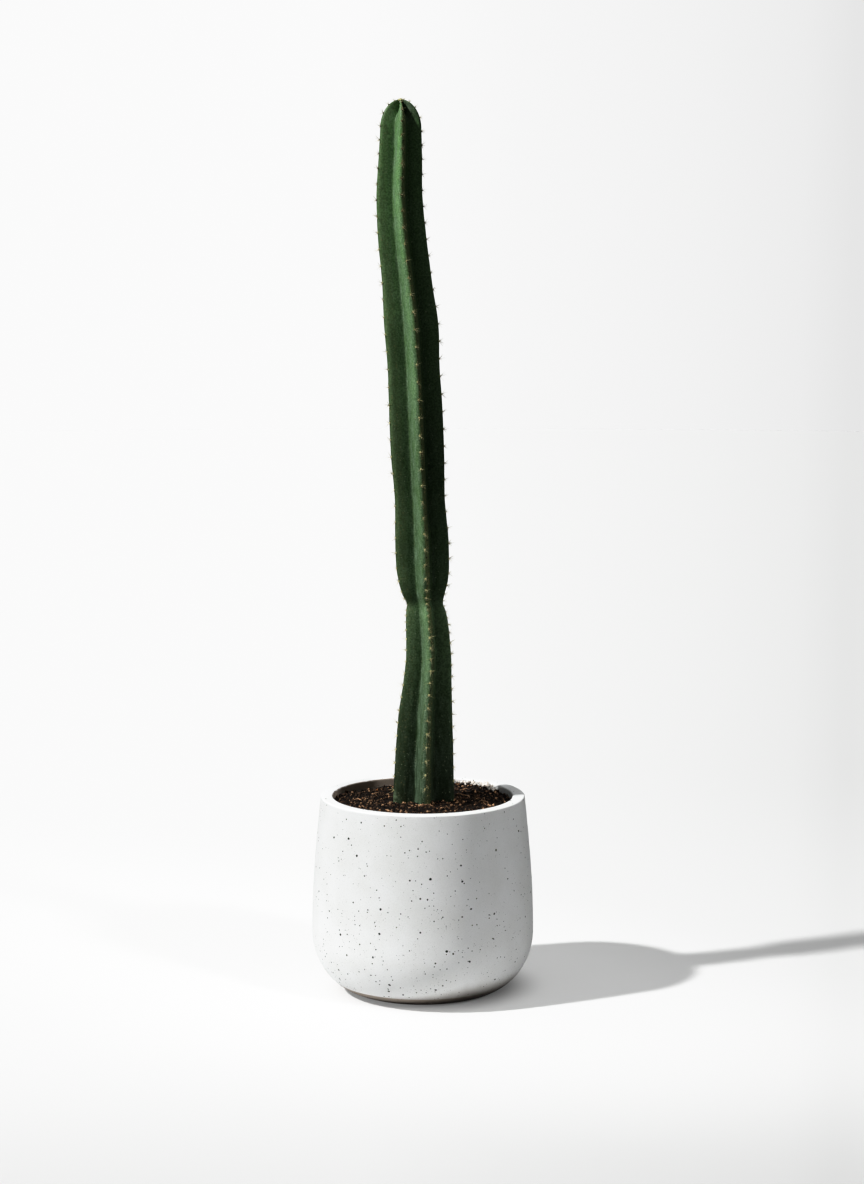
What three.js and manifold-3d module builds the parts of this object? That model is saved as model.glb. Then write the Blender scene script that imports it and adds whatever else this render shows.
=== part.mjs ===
// Potted columnar cactus: a cast planter, the granular soil that fills it, and one five-ribbed stem.
// Millimetres, +Z up. The origin is on the floor under the pot's axis, and the front is at -Y.
// Azimuths are in degrees: 0 faces the front and 90 faces +X.

import * as THREE from "three";
import { mergeVertices } from "three/addons/utils/BufferGeometryUtils.js";
import Module from "manifold-3d";

const wasm = await Module();
wasm.setup();

// Clearance between pieces that rest on each other, the wider one round the stem, and the weld of points
const GAP = 0.3;
const STEM_GAP = 0.4;
const WELD = 1e-4;

// Pot: height, rim, widest line, foot ring and cavity
const POT_HEIGHT = 199;
const RIM_RADIUS = 103;
const MOUTH_RADIUS = 90.5;
const RIM_EDGE = 1.6;
const BELLY_RADIUS = 112;
const BELLY_HEIGHT = 61;
const FOOT_RADIUS = 60;
const FOOT_WIDTH = 10;
const FOOT_RECESS = 3;
const CAVITY_BELLY_RADIUS = 98;
const CAVITY_BELLY_HEIGHT = 64;
const CAVITY_FLOOR_RADIUS = 46;
const CAVITY_FLOOR = 16;
const DRAIN_RADIUS = 9;

// Shares of the height above the widest line at which the outer side and the cavity wall have a corner
const SIDE_SHARES = [0.3, 0.55, 0.78];
const WALL_SHARES = [0.65, 0.33];

// Facets round the pot, and along the curves of its bottom, its cavity floor and the two edges of its rim
const ROUND_SEGMENTS = 54;
const BOTTOM_FACETS = 7;
const FLOOR_FACETS = 5;
const EDGE_FACETS = 2;

// Soil: level at the wall, radius of its surface, the relief of that surface and the most it may rise to
const SOIL_LEVEL = 191.5;
const SOIL_EDGE = MOUTH_RADIUS - GAP;
const SOIL_RINGS = 14;
const GRAIN_RELIEF = 1.3;
const GRAIN_PITCH = 6.5;
const SOIL_TOP_LIMIT = 198.5;
const GRID_WAVE = [127.1, 311.7, 43758.5453];

// Rises and hollows of the soil: x, y, height and spread
const SOIL_RISES = [
  [2, -8, 3.6, 42],
  [2, -46, 3, 10],
  [22, -36, 2.8, 13],
  [40, -12, 2.6, 15],
  [58, 60, 4.8, 20],
  [30, 78, 2.5, 16],
  [-45, 58, -2.4, 26],
];

// Stem: height, offset to the right, offset to the back, half width from the front, twist
const STEM_PATH = [
  [201, 1.2, -8, 30.8, 1.5],
  [239, 1.6, -9, 29.4, 3],
  [284, 2.4, -10, 27.2, 5],
  [313, 4.1, -11, 24.6, 6],
  [344, 5.4, -12, 22.7, 7],
  [376, 4.1, -12, 21.2, 5],
  [389, 2.9, -12, 19.7, 6],
  [396, 1.9, -12, 18.0, 7],
  [405, 0.3, -12, 21.2, 8],
  [419, 0.0, -12, 24.8, 7],
  [435, -0.5, -11, 26.5, 6],
  [463, -1.4, -11, 26.6, 7],
  [500, -3.4, -10, 25.1, 7.5],
  [547, -5.8, -9, 26.7, 8],
  [597, -7.9, -7, 26.6, 8.5],
  [627, -9.5, -6, 25.9, 9],
  [672, -12.0, -5, 27.0, 8.5],
  [712, -15.5, -4, 24.8, 6],
  [757, -20.2, -3, 24.0, 5],
  [797, -22.8, -2, 22.7, 5.5],
  [832, -21.8, -2, 21.5, 5],
  [861, -21.2, -2, 20.3, 4],
];
const STEM_FOOT = 128;
const STEM_COLLAR = STEM_PATH[0][0];
const DOME_BASE = STEM_PATH.at(-1)[0];
const HOLE_TOP = 220;

// Dome at the tip: height of the ribs, height of the valleys, and the length of its crest line
const DOME_RIB_RISE = 28.5;
const DOME_VALLEY_RISE = 25;
const DOME_CREST_LENGTH = 39;
const DOME_RINGS = 6;
const DOME_LAST_ANGLE = 84;

// Stations along the stem: from, to, step
const STATION_RUNS = [
  [STEM_COLLAR, 364, 18],
  [364, 430, 6.6],
  [430, DOME_BASE, 18],
];

// Ribs: azimuth of each crest, and the half width that the ribs give for a crest radius of 1
const RIB_AZIMUTHS = [-70, 0, 65, 138, 213];
const SILHOUETTE_SHARE = 0.945;
const VALLEY_SHARE = 0.5;
const WAIST_VALLEY_SHARE = 0.58;
const WAIST_HEIGHT = 396;
const WAIST_REACH = 22;
const TIP_VALLEY_SHARE = 0.75;
const TIP_VALLEY_POWER = 4;

// Points from a crest to the next valley: share of the half sector, and depth from 1 on the crest to 0
const RIB_CREST = [0.065, 1];
const RIB_SHOULDER = [0.23, 0.86];
const RIB_FLANK = [0.5, 0.4];
const RIB_VALLEY = [1, 0];

// Areoles: distance between neighbours on a rib at each height, the first and last place on a rib,
// the share of a distance that each rib starts with, their size, and the half step that gives their direction
const AREOLE_SPACING = [
  [200, 14.5],
  [300, 12.5],
  [350, 11],
  [383, 5.5],
  [398, 6],
  [410, 11],
  [428, 15],
  [600, 17.5],
  [700, 16.5],
  [800, 15.5],
  [862, 12],
  [900, 5],
];
const FIRST_AREOLE = 206;
const LAST_AREOLE = 893.5;
const AREOLE_PHASES = [0.1, 0.45, 0.75, 0.3, 0.6];
const AREOLE_HALF_LENGTH = 1.1;
const AREOLE_RISE = 0.7;
const AREOLE_SIGHT = 0.5;

// Spines: one raised from each side of an areole, splayed and turned a little about the areole
const SPINE_LENGTH = 5.4;
const SPINE_LENGTH_SPREAD = 0.2;
const SPINE_SPLAY = 0.9;
const SPINE_SPLAY_SPREAD = 0.12;
const SPINE_TURN = 22;
const TIP_SPINE_SHARE = 0.6;
const CROWDED_SPACING = 8;
const SEED = 7;

// Colours and finishes
const POT_FINISH = { color: 0xe6e6e2, roughness: 0.75, metalness: 0 };
const SOIL_FINISH = { color: 0x3a2a1e, roughness: 0.95, metalness: 0 };
const STEM_FINISH = { color: 0x2f5a35, roughness: 0.55, metalness: 0 };

const radians = THREE.MathUtils.degToRad;

// Seeded random number between 0 and 1
function seededRandom(seed) {
  let state = seed;
  return () => {
    state = (state * 1664525 + 1013904223) % 4294967296;
    return state / 4294967296;
  };
}

// Smooth curve through rows of [height, values...], held at the end rows
function along(rows, height) {
  const last = rows.length - 1;
  const clamped = Math.min(Math.max(height, rows[0][0]), rows[last][0]);
  let i = 0;
  while (i < last - 1 && rows[i + 1][0] < clamped) i += 1;
  const step = rows[i + 1][0] - rows[i][0];
  const t = (clamped - rows[i][0]) / step;
  const slope = (k, column) => {
    const before = rows[Math.max(k - 1, 0)];
    const after = rows[Math.min(k + 1, last)];
    return (after[column] - before[column]) / (after[0] - before[0]);
  };
  return rows[0].slice(1).map((_, c) => {
    const column = c + 1;
    const from = rows[i][column];
    const to = rows[i + 1][column];
    const rise = step * t * (1 - t);
    const bend = rise * ((1 - t) * slope(i, column) - t * slope(i + 1, column));
    return from + (to - from) * t * t * (3 - 2 * t) + bend;
  });
}

// Straight lines through rows of [height, value]
function between(rows, height) {
  const clamped = Math.min(Math.max(height, rows[0][0]), rows.at(-1)[0]);
  const i = Math.max(rows.findIndex((row) => row[0] >= clamped), 1);
  const t = (clamped - rows[i - 1][0]) / (rows[i][0] - rows[i - 1][0]);
  return THREE.MathUtils.lerp(rows[i - 1][1], rows[i][1], t);
}

function geometryFrom(vertices, triangles) {
  const geometry = new THREE.BufferGeometry();
  const coordinates = vertices.flatMap((vertex) => vertex.toArray());
  geometry.setAttribute("position", new THREE.Float32BufferAttribute(coordinates, 3));
  geometry.setIndex(triangles.flat());
  return geometry;
}

// Closed solid of a geometry, with shared vertices merged and collapsed triangles dropped
function solidOf(geometry) {
  const bare = geometry.clone();
  bare.deleteAttribute("normal");
  bare.deleteAttribute("uv");
  const merged = mergeVertices(bare, WELD);
  const index = merged.index.array;
  const kept = [];
  for (let i = 0; i < index.length; i += 3) {
    const [a, b, c] = [index[i], index[i + 1], index[i + 2]];
    if (a !== b && b !== c && c !== a) kept.push(a, b, c);
  }
  return new wasm.Manifold(new wasm.Mesh({
    numProp: 3,
    vertProperties: new Float32Array(merged.attributes.position.array),
    triVerts: new Uint32Array(kept),
  }));
}

function geometryOf(solid) {
  const mesh = solid.getMesh();
  const geometry = new THREE.BufferGeometry();
  const coordinates = new Float32Array(mesh.vertProperties);
  geometry.setAttribute("position", new THREE.BufferAttribute(coordinates, 3));
  geometry.setIndex(new THREE.BufferAttribute(new Uint32Array(mesh.triVerts), 1));
  geometry.computeVertexNormals();
  return geometry;
}

// Closed skin over a stack of rings of equal length, from the lowest to the highest, with a pole at each end
function skinOver(rings, bottomPole, topPole) {
  const count = rings[0].length;
  const triangles = [];
  rings.slice(1).forEach((_, k) => {
    for (let i = 0; i < count; i += 1) {
      const j = (i + 1) % count;
      const low = k * count;
      const high = low + count;
      triangles.push([low + i, low + j, high + j], [low + i, high + j, high + i]);
    }
  });
  const vertices = rings.flat();
  const bottom = vertices.length;
  const top = bottom + 1;
  const lastRing = (rings.length - 1) * count;
  for (let i = 0; i < count; i += 1) {
    const j = (i + 1) % count;
    triangles.push([bottom, j, i], [top, lastRing + i, lastRing + j]);
  }
  return geometryFrom([...vertices, bottomPole, topPole], triangles);
}

// Points on an ellipse in the profile plane, by angle in degrees
function ellipseArc(centre, radii, from, to, steps) {
  return Array.from({ length: steps + 1 }, (_, i) => {
    const angle = radians(THREE.MathUtils.lerp(from, to, i / steps));
    return new THREE.Vector2(centre[0] + radii[0] * Math.cos(angle), centre[1] + radii[1] * Math.sin(angle));
  });
}

// Radius of the cavity at a height above its widest line
function cavityRadius(height) {
  const share = (height - CAVITY_BELLY_HEIGHT) / (POT_HEIGHT - CAVITY_BELLY_HEIGHT);
  return MOUTH_RADIUS + (CAVITY_BELLY_RADIUS - MOUTH_RADIUS) * Math.cos(share * Math.PI / 2);
}

// Cavity from its upper wall down to its floor, drawn in by a clearance
function cavityProfile(clearance) {
  const wallRise = POT_HEIGHT - CAVITY_BELLY_HEIGHT;
  const wall = WALL_SHARES.map((share) => {
    const height = CAVITY_BELLY_HEIGHT + share * wallRise;
    return new THREE.Vector2(cavityRadius(height) - clearance, height);
  });
  const corner = [
    CAVITY_BELLY_RADIUS - CAVITY_FLOOR_RADIUS - clearance,
    CAVITY_BELLY_HEIGHT - CAVITY_FLOOR - clearance,
  ];
  return [...wall, ...ellipseArc([CAVITY_FLOOR_RADIUS, CAVITY_BELLY_HEIGHT], corner, 0, -90, FLOOR_FACETS)];
}

// Turned about the pot's axis, with +Z up
function lathe(profile) {
  const geometry = new THREE.LatheGeometry(profile, ROUND_SEGMENTS);
  geometry.rotateX(Math.PI / 2);
  return geometry;
}

function potGeometry() {
  const bottom = ellipseArc(
    [FOOT_RADIUS, BELLY_HEIGHT], [BELLY_RADIUS - FOOT_RADIUS, BELLY_HEIGHT], -90, 0, BOTTOM_FACETS,
  );
  const sideRise = POT_HEIGHT - RIM_EDGE - BELLY_HEIGHT;
  const side = SIDE_SHARES.map((share) => {
    const swell = (BELLY_RADIUS - RIM_RADIUS) * Math.cos(share * Math.PI / 2);
    return new THREE.Vector2(RIM_RADIUS + swell, BELLY_HEIGHT + sideRise * share);
  });
  const edge = [RIM_EDGE, RIM_EDGE];
  const rim = [
    ...ellipseArc([RIM_RADIUS - RIM_EDGE, POT_HEIGHT - RIM_EDGE], edge, 0, 90, EDGE_FACETS),
    ...ellipseArc([MOUTH_RADIUS + RIM_EDGE, POT_HEIGHT - RIM_EDGE], edge, 90, 180, EDGE_FACETS),
  ];
  const underside = [
    new THREE.Vector2(DRAIN_RADIUS, CAVITY_FLOOR),
    new THREE.Vector2(DRAIN_RADIUS, FOOT_RECESS),
    new THREE.Vector2(FOOT_RADIUS - FOOT_WIDTH, FOOT_RECESS),
    new THREE.Vector2(FOOT_RADIUS - FOOT_WIDTH, 0),
  ];
  const profile = [...bottom, ...side, ...rim, ...cavityProfile(0), ...underside, bottom[0].clone()];
  return geometryOf(solidOf(lathe(profile)));
}

// Repeatable value between -1 and 1 for a point of a grid
function gridValue(i, j) {
  const wave = Math.sin(i * GRID_WAVE[0] + j * GRID_WAVE[1]) * GRID_WAVE[2];
  return 2 * (wave - Math.floor(wave)) - 1;
}

// Smooth crumbly relief between -1 and 1
function crumble(x, y) {
  const i = Math.floor(x);
  const j = Math.floor(y);
  const u = THREE.MathUtils.smoothstep(x - i, 0, 1);
  const v = THREE.MathUtils.smoothstep(y - j, 0, 1);
  const near = THREE.MathUtils.lerp(gridValue(i, j), gridValue(i + 1, j), u);
  const far = THREE.MathUtils.lerp(gridValue(i, j + 1), gridValue(i + 1, j + 1), u);
  return THREE.MathUtils.lerp(near, far, v);
}

function soilHeight(x, y) {
  let height = SOIL_LEVEL + GRAIN_RELIEF * crumble(x / GRAIN_PITCH, y / GRAIN_PITCH);
  for (const [riseX, riseY, rise, spread] of SOIL_RISES) {
    height += rise * Math.exp(-((x - riseX) ** 2 + (y - riseY) ** 2) / spread ** 2);
  }
  return Math.min(height, SOIL_TOP_LIMIT);
}

// Half width, azimuth and place of the stem's section, and the radii and heights of its crests and valleys
function stemSection(station) {
  const [x, y, halfWidth, twist] = along(STEM_PATH, station);
  const crest = halfWidth / SILHOUETTE_SHARE;
  const nearWaist = Math.exp(-(((station - WAIST_HEIGHT) / WAIST_REACH) ** 2));
  const share = THREE.MathUtils.lerp(VALLEY_SHARE, WAIST_VALLEY_SHARE, nearWaist);
  const angle = Math.max(station - DOME_BASE, 0) / DOME_CREST_LENGTH * Math.PI / 2;
  const tipShare = THREE.MathUtils.lerp(share, TIP_VALLEY_SHARE, Math.sin(angle) ** TIP_VALLEY_POWER);
  const crestRadius = crest * Math.cos(angle);
  return {
    x, y, twist, crestRadius,
    valleyRadius: crestRadius * tipShare,
    crestHeight: Math.min(station, DOME_BASE) + DOME_RIB_RISE * Math.sin(angle),
    valleyHeight: Math.min(station, DOME_BASE) + DOME_VALLEY_RISE * Math.sin(angle),
  };
}

// Point of the section at an azimuth, where depth is 1 on a crest and 0 in a valley
function sectionPoint(section, azimuth, depth) {
  const radius = THREE.MathUtils.lerp(section.valleyRadius, section.crestRadius, depth);
  const height = THREE.MathUtils.lerp(section.valleyHeight, section.crestHeight, depth);
  const turn = radians(azimuth + section.twist);
  return new THREE.Vector3(
    section.x + radius * Math.sin(turn),
    section.y - radius * Math.cos(turn),
    height,
  );
}

// Columns of the stem's skin, in order round it: azimuth, depth, and the rib when it edges that rib's crest
function skinColumns() {
  return RIB_AZIMUTHS.flatMap((azimuth, rib) => {
    const wraps = rib === RIB_AZIMUTHS.length - 1;
    const next = wraps ? RIB_AZIMUTHS[0] + 360 : RIB_AZIMUTHS[rib + 1];
    const half = (next - azimuth) / 2;
    const after = ([share, depth]) => ({ azimuth: azimuth + half * share, depth });
    const before = ([share, depth]) => ({ azimuth: next - half * share, depth });
    return [
      { ...after(RIB_CREST), crestOf: rib },
      after(RIB_SHOULDER), after(RIB_FLANK), after(RIB_VALLEY),
      before(RIB_FLANK), before(RIB_SHOULDER),
      { ...before(RIB_CREST), crestOf: wraps ? 0 : rib + 1 },
    ];
  });
}

function stemStations() {
  const stations = STATION_RUNS.flatMap(([from, to, step]) => {
    const count = Math.round((to - from) / step);
    return Array.from({ length: count }, (_, i) => from + (to - from) * i / count);
  });
  const domeEnd = DOME_LAST_ANGLE / 90 * DOME_CREST_LENGTH;
  for (let i = 0; i <= DOME_RINGS; i += 1) stations.push(DOME_BASE + domeEnd * i / DOME_RINGS);
  return stations;
}

// Outline moved outwards by the same distance on every side
function widened(outline, distance) {
  const count = outline.length;
  return outline.map((point, i) => {
    const before = outline[(i + count - 1) % count];
    const after = outline[(i + 1) % count];
    const normals = [[before, point], [point, after]].map(([a, b]) =>
      new THREE.Vector3(b.y - a.y, a.x - b.x, 0).normalize());
    const miter = normals[0].clone().add(normals[1]);
    return point.clone().addScaledVector(miter, 2 * distance / miter.lengthSq());
  });
}

// Plain hole in the soil with the stem's own section
function stemHole() {
  const base = stemSection(STEM_COLLAR);
  const collar = skinColumns().map(({ azimuth, depth }) => sectionPoint(base, azimuth, depth));
  const outline = widened(collar, STEM_GAP);
  const levels = [STEM_FOOT - GAP, HOLE_TOP];
  const rings = levels.map((level) => outline.map((point) => new THREE.Vector3(point.x, point.y, level)));
  return skinOver(rings, ...levels.map((level) => new THREE.Vector3(base.x, base.y, level)));
}

function soilGeometry() {
  const wall = cavityProfile(GAP).reverse();
  const top = Array.from({ length: SOIL_RINGS + 1 }, (_, i) =>
    new THREE.Vector2(SOIL_EDGE * (1 - i / SOIL_RINGS), SOIL_LEVEL));
  const profile = [new THREE.Vector2(0, CAVITY_FLOOR + GAP), ...wall, ...top];
  const geometry = lathe(profile);
  const position = geometry.attributes.position;
  for (let i = 0; i < position.count; i += 1) {
    if (position.getZ(i) > SOIL_LEVEL - GAP) {
      position.setZ(i, soilHeight(position.getX(i), position.getY(i)));
    }
  }
  return geometryOf(solidOf(geometry).subtract(solidOf(stemHole())));
}

// Place of a crest at a station, with its directions outwards, along the rib and across it
function crestFrame(azimuth, station) {
  const at = (s) => sectionPoint(stemSection(s), azimuth, 1);
  const origin = at(station);
  const ahead = at(station + AREOLE_SIGHT).sub(at(station - AREOLE_SIGHT)).normalize();
  const section = stemSection(station);
  const turn = radians(azimuth + section.twist);
  const across = new THREE.Vector3(Math.cos(turn), Math.sin(turn), 0);
  const outward = new THREE.Vector3().crossVectors(across, ahead).normalize();
  return { origin, ahead, across, outward };
}

// Stations of the areoles on a rib, from the soil to the tip
function areoleStations(rib) {
  const stations = [];
  let station = FIRST_AREOLE + AREOLE_PHASES[rib] * between(AREOLE_SPACING, FIRST_AREOLE);
  while (station < LAST_AREOLE) {
    stations.push(station);
    station += between(AREOLE_SPACING, station);
  }
  return stations;
}

// Share of the full size that an areole and its spines have on the dome
function youngShare(station) {
  return THREE.MathUtils.lerp(1, TIP_SPINE_SHARE, Math.max(station - DOME_BASE, 0) / DOME_CREST_LENGTH);
}

// Tip of the spine that rises from one side of an areole, where the side faces a turn about its middle
function spineTip(frame, side, share, random) {
  const length = share * SPINE_LENGTH * (1 + SPINE_LENGTH_SPREAD * (2 * random() - 1));
  const splay = SPINE_SPLAY + SPINE_SPLAY_SPREAD * (2 * random() - 1);
  const turn = radians(side * 90 + SPINE_TURN);
  return frame.origin.clone()
    .addScaledVector(frame.outward, length * Math.cos(splay))
    .addScaledVector(frame.ahead, -length * Math.sin(splay) * Math.cos(turn))
    .addScaledVector(frame.across, length * Math.sin(splay) * Math.sin(turn));
}

// The stem's skin: columns from foot to tip, stitched round, with the areoles raised between crest columns
function stemGeometry() {
  const random = seededRandom(SEED);
  const vertices = [];
  const triangles = [];
  const add = (point) => vertices.push(point) - 1;

  const rungs = RIB_AZIMUTHS.map((_, rib) => areoleStations(rib).flatMap((station) => {
    const half = AREOLE_HALF_LENGTH * youngShare(station);
    return [station - half, station + half];
  }));
  const stations = stemStations();
  const domeEnd = stations.at(-1);

  const columns = skinColumns().map(({ azimuth, depth, crestOf }) => {
    const own = crestOf === undefined ? stations : [STEM_COLLAR, ...rungs[crestOf], domeEnd];
    const foot = sectionPoint(stemSection(STEM_COLLAR), azimuth, depth).setZ(STEM_FOOT);
    const points = own.map((station) => sectionPoint(stemSection(station), azimuth, depth));
    return {
      stations: [STEM_FOOT, ...own],
      vertices: [foot, ...points].map(add),
      crestOf,
    };
  });

  const stitch = (left, right) => {
    const ends = [left.vertices.length - 1, right.vertices.length - 1];
    let i = 0;
    let j = 0;
    while (i < ends[0] || j < ends[1]) {
      const goLeft = j === ends[1] || (i < ends[0] && left.stations[i + 1] <= right.stations[j + 1]);
      const corner = goLeft ? left.vertices[i + 1] : right.vertices[j + 1];
      triangles.push([left.vertices[i], right.vertices[j], corner]);
      if (goLeft) i += 1;
      else j += 1;
    }
  };

  const raiseAreole = (corners, azimuth, station) => {
    const frame = crestFrame(azimuth, station);
    const young = youngShare(station);
    const share = young * Math.min(between(AREOLE_SPACING, station) / CROWDED_SPACING, 1);
    const crown = add(frame.origin.clone().addScaledVector(frame.outward, AREOLE_RISE * young));
    corners.forEach((corner, side) => {
      const next = corners[(side + 1) % corners.length];
      const tip = add(spineTip(frame, side, share, random));
      triangles.push([corner, next, tip], [next, crown, tip], [crown, corner, tip]);
    });
  };

  // Between the two edges of a crest: an areole, then a plain stretch, and so on
  const fillCrest = (left, right, rib) => {
    areoleStations(rib).forEach((station, k) => {
      const low = 2 * k + 2;
      const corners = [
        left.vertices[low], right.vertices[low], right.vertices[low + 1], left.vertices[low + 1],
      ];
      raiseAreole(corners, RIB_AZIMUTHS[rib], station);
    });
    for (let low = 0; low < left.vertices.length - 1; low += 1) {
      const isAreole = low >= 2 && low % 2 === 0 && low < left.vertices.length - 2;
      if (isAreole) continue;
      const [a, b] = [left.vertices[low], right.vertices[low]];
      const [c, d] = [right.vertices[low + 1], left.vertices[low + 1]];
      triangles.push([a, b, c], [a, c, d]);
    }
  };

  columns.forEach((column, i) => {
    const next = columns[(i + 1) % columns.length];
    const isCrest = column.crestOf !== undefined && column.crestOf === next.crestOf;
    if (isCrest) fillCrest(column, next, column.crestOf);
    else stitch(column, next);
  });

  const base = stemSection(STEM_COLLAR);
  const tip = stemSection(DOME_BASE);
  const tipHeight = DOME_BASE + (DOME_RIB_RISE + DOME_VALLEY_RISE) / 2;
  const footPole = add(new THREE.Vector3(base.x, base.y, STEM_FOOT));
  const tipPole = add(new THREE.Vector3(tip.x, tip.y, tipHeight));
  columns.forEach((column, i) => {
    const next = columns[(i + 1) % columns.length];
    triangles.push([footPole, next.vertices[0], column.vertices[0]]);
    triangles.push([tipPole, column.vertices.at(-1), next.vertices.at(-1)]);
  });
  return geometryOf(solidOf(geometryFrom(vertices, triangles)));
}

function meshOf(name, geometry, finish) {
  const mesh = new THREE.Mesh(geometry, new THREE.MeshStandardMaterial(finish));
  mesh.name = name;
  return mesh;
}

const plant = new THREE.Group();
plant.add(meshOf("pot", potGeometry(), POT_FINISH));
plant.add(meshOf("soil", soilGeometry(), SOIL_FINISH));
plant.add(meshOf("stem", stemGeometry(), STEM_FINISH));

export default plant;
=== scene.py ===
"""A potted columnar cactus: one five-ribbed stem in a cast planter filled with granular soil.

Metres, +Z up, origin on the floor under the pot's axis. The front is at -Y, and azimuths run from
0 at the front to 90 degrees at +X.
"""

import math
import random

import bmesh
import bpy
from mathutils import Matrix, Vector


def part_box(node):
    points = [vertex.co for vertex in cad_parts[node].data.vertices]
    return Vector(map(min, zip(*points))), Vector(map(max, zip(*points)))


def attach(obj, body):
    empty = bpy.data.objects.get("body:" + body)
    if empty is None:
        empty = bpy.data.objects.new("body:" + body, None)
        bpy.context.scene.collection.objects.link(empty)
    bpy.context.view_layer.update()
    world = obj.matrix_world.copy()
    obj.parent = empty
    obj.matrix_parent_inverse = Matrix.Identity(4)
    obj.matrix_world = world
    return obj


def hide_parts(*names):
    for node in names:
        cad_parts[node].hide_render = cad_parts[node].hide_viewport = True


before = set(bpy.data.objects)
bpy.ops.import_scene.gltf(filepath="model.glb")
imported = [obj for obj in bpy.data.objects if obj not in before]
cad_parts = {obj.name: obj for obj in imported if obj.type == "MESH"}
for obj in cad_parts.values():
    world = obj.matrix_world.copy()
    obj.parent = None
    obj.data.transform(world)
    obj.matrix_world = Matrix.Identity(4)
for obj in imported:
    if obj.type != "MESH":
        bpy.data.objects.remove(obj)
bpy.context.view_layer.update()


# The pot is one cast body of pale mineral material with dark grains in it. It is turned about one
# axis: a rounded bottom on a low foot ring, a side that draws in a little to a thick flat rim, and
# a rounded cavity with a drain hole.

_, POT_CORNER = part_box("pot")
POT_HEIGHT = POT_CORNER.z
BELLY_RADIUS = max(POT_CORNER.xy)
BELLY_HEIGHT = 0.061
RIM_RADIUS = 0.103
MOUTH_RADIUS = 0.0905
RIM_EDGE = 0.0016
FOOT_RADIUS = 0.060
FOOT_WIDTH = 0.010
FOOT_RECESS = 0.003
FOOT_EDGE = 0.0012
CAVITY_BELLY_RADIUS = 0.098
CAVITY_BELLY_HEIGHT = 0.064
CAVITY_FLOOR_RADIUS = 0.046
CAVITY_FLOOR = 0.016
DRAIN_RADIUS = 0.009
POT_FACETS = 160
BOTTOM_STEPS, SIDE_STEPS, EDGE_STEPS, WALL_STEPS, FLOOR_STEPS = 24, 22, 5, 16, 14
POT_UNEVENNESS = 0.0001
POT_WAVES = {"Scale": 22.0, "Detail": 1.0}
FOOT_STEADINESS = 60.0


class Field:
    """One output of a node. A sum with it adds a node to its tree, and [name] is another output."""

    def __init__(self, socket):
        self.socket = socket
        self.tree = socket.id_data

    def __getitem__(self, name):
        return Field(self.socket.node.outputs[name])

    def __add__(self, other):
        return maths("ADD", self, other)

    def __sub__(self, other):
        return maths("SUBTRACT", self, other)

    def __rsub__(self, other):
        return maths("SUBTRACT", other, self)

    def __mul__(self, other):
        return maths("MULTIPLY", self, other)

    def __truediv__(self, other):
        return maths("DIVIDE", self, other)

    def __rtruediv__(self, other):
        return maths("DIVIDE", other, self)

    def times(self, factor, plus):
        return maths("MULTIPLY_ADD", self, factor, plus)

    def into(self, kind, inputs=None, **settings):
        """Leads this into the first socket of a new node."""
        return place(self.tree, kind, {0: self, **(inputs or {})}, **settings)


def feed(node, inputs):
    """Sets a node's inputs, which are plain values or fields, by the socket's name or number."""
    for key, value in inputs.items():
        if isinstance(value, Field):
            node.id_data.links.new(value.socket, node.inputs[key])
        else:
            node.inputs[key].default_value = value


def place(tree, kind, inputs=None, **settings):
    """Adds a node with its settings and inputs. Returns the first output that it uses."""
    node = tree.nodes.new(kind)
    for name, value in settings.items():
        setattr(node, name, value)
    feed(node, inputs or {})
    return next((Field(socket) for socket in node.outputs if socket.enabled), None)


def tree_of(values):
    return next(value.tree for value in values if isinstance(value, Field))


def maths(operation, *values, clamp=False):
    """The result of one sum on plain values and fields."""
    inputs = dict(enumerate(values))
    return place(tree_of(values), "ShaderNodeMath", inputs, operation=operation, use_clamp=clamp)


def product(first, *others):
    for other in others:
        first = first * other
    return first


def vector_maths(operation, *vectors, **scale):
    inputs = {**dict(enumerate(vectors)), **scale}
    return place(tree_of(vectors), "ShaderNodeVectorMath", inputs, operation=operation)


def add_socket(tree, name, kind, way="INPUT"):
    return tree.interface.new_socket(name=name, in_out=way, socket_type="NodeSocket" + kind)


def shape_tree(name, **inputs):
    """A geometry tree with a material and the inputs named under each kind. Returns it and its inputs."""
    tree = bpy.data.node_groups.new(name, "GeometryNodeTree")
    add_socket(tree, "Geometry", "Geometry", "OUTPUT")
    for kind, names in {"Geometry": ["Geometry"], **inputs, "Material": ["Material"]}.items():
        for socket_name in names:
            add_socket(tree, socket_name, kind)
    return tree, place(tree, "NodeGroupInput")


def finish_shape(geometry, given):
    """Ends a tree: smooth shading, real meshes in place of instances, and the material."""
    real = geometry.into("GeometryNodeSetShadeSmooth").into("GeometryNodeRealizeInstances")
    coloured = real.into("GeometryNodeSetMaterial", {"Material": given["Material"]})
    place(geometry.tree, "NodeGroupOutput", {"Geometry": coloured})
    return geometry.tree


def carried(tree, name, kind="FLOAT"):
    return place(tree, "GeometryNodeInputNamedAttribute", {"Name": name}, data_type=kind)


def stored(geometry, name, value, domain="POINT"):
    """Stores a value on a geometry as a named attribute."""
    inputs = {"Name": name, "Value": value}
    return geometry.into("GeometryNodeStoreNamedAttribute", inputs, data_type="FLOAT", domain=domain)


def rippled(geometry, waves, *heights):
    """Moves a skin out and in by a noise, whose height is the product of the heights."""
    rise = product(place(geometry.tree, "ShaderNodeTexNoise", waves) - 0.5, *heights)
    push = vector_maths("SCALE", place(geometry.tree, "GeometryNodeInputNormal"), Scale=rise)
    return geometry.into("GeometryNodeSetPosition", {"Offset": push})


def shown(name, data):
    """An object in the scene that shows a mesh, a light or a camera."""
    item = bpy.data.objects.new(name, data)
    bpy.context.scene.collection.objects.link(item)
    return item


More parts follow.
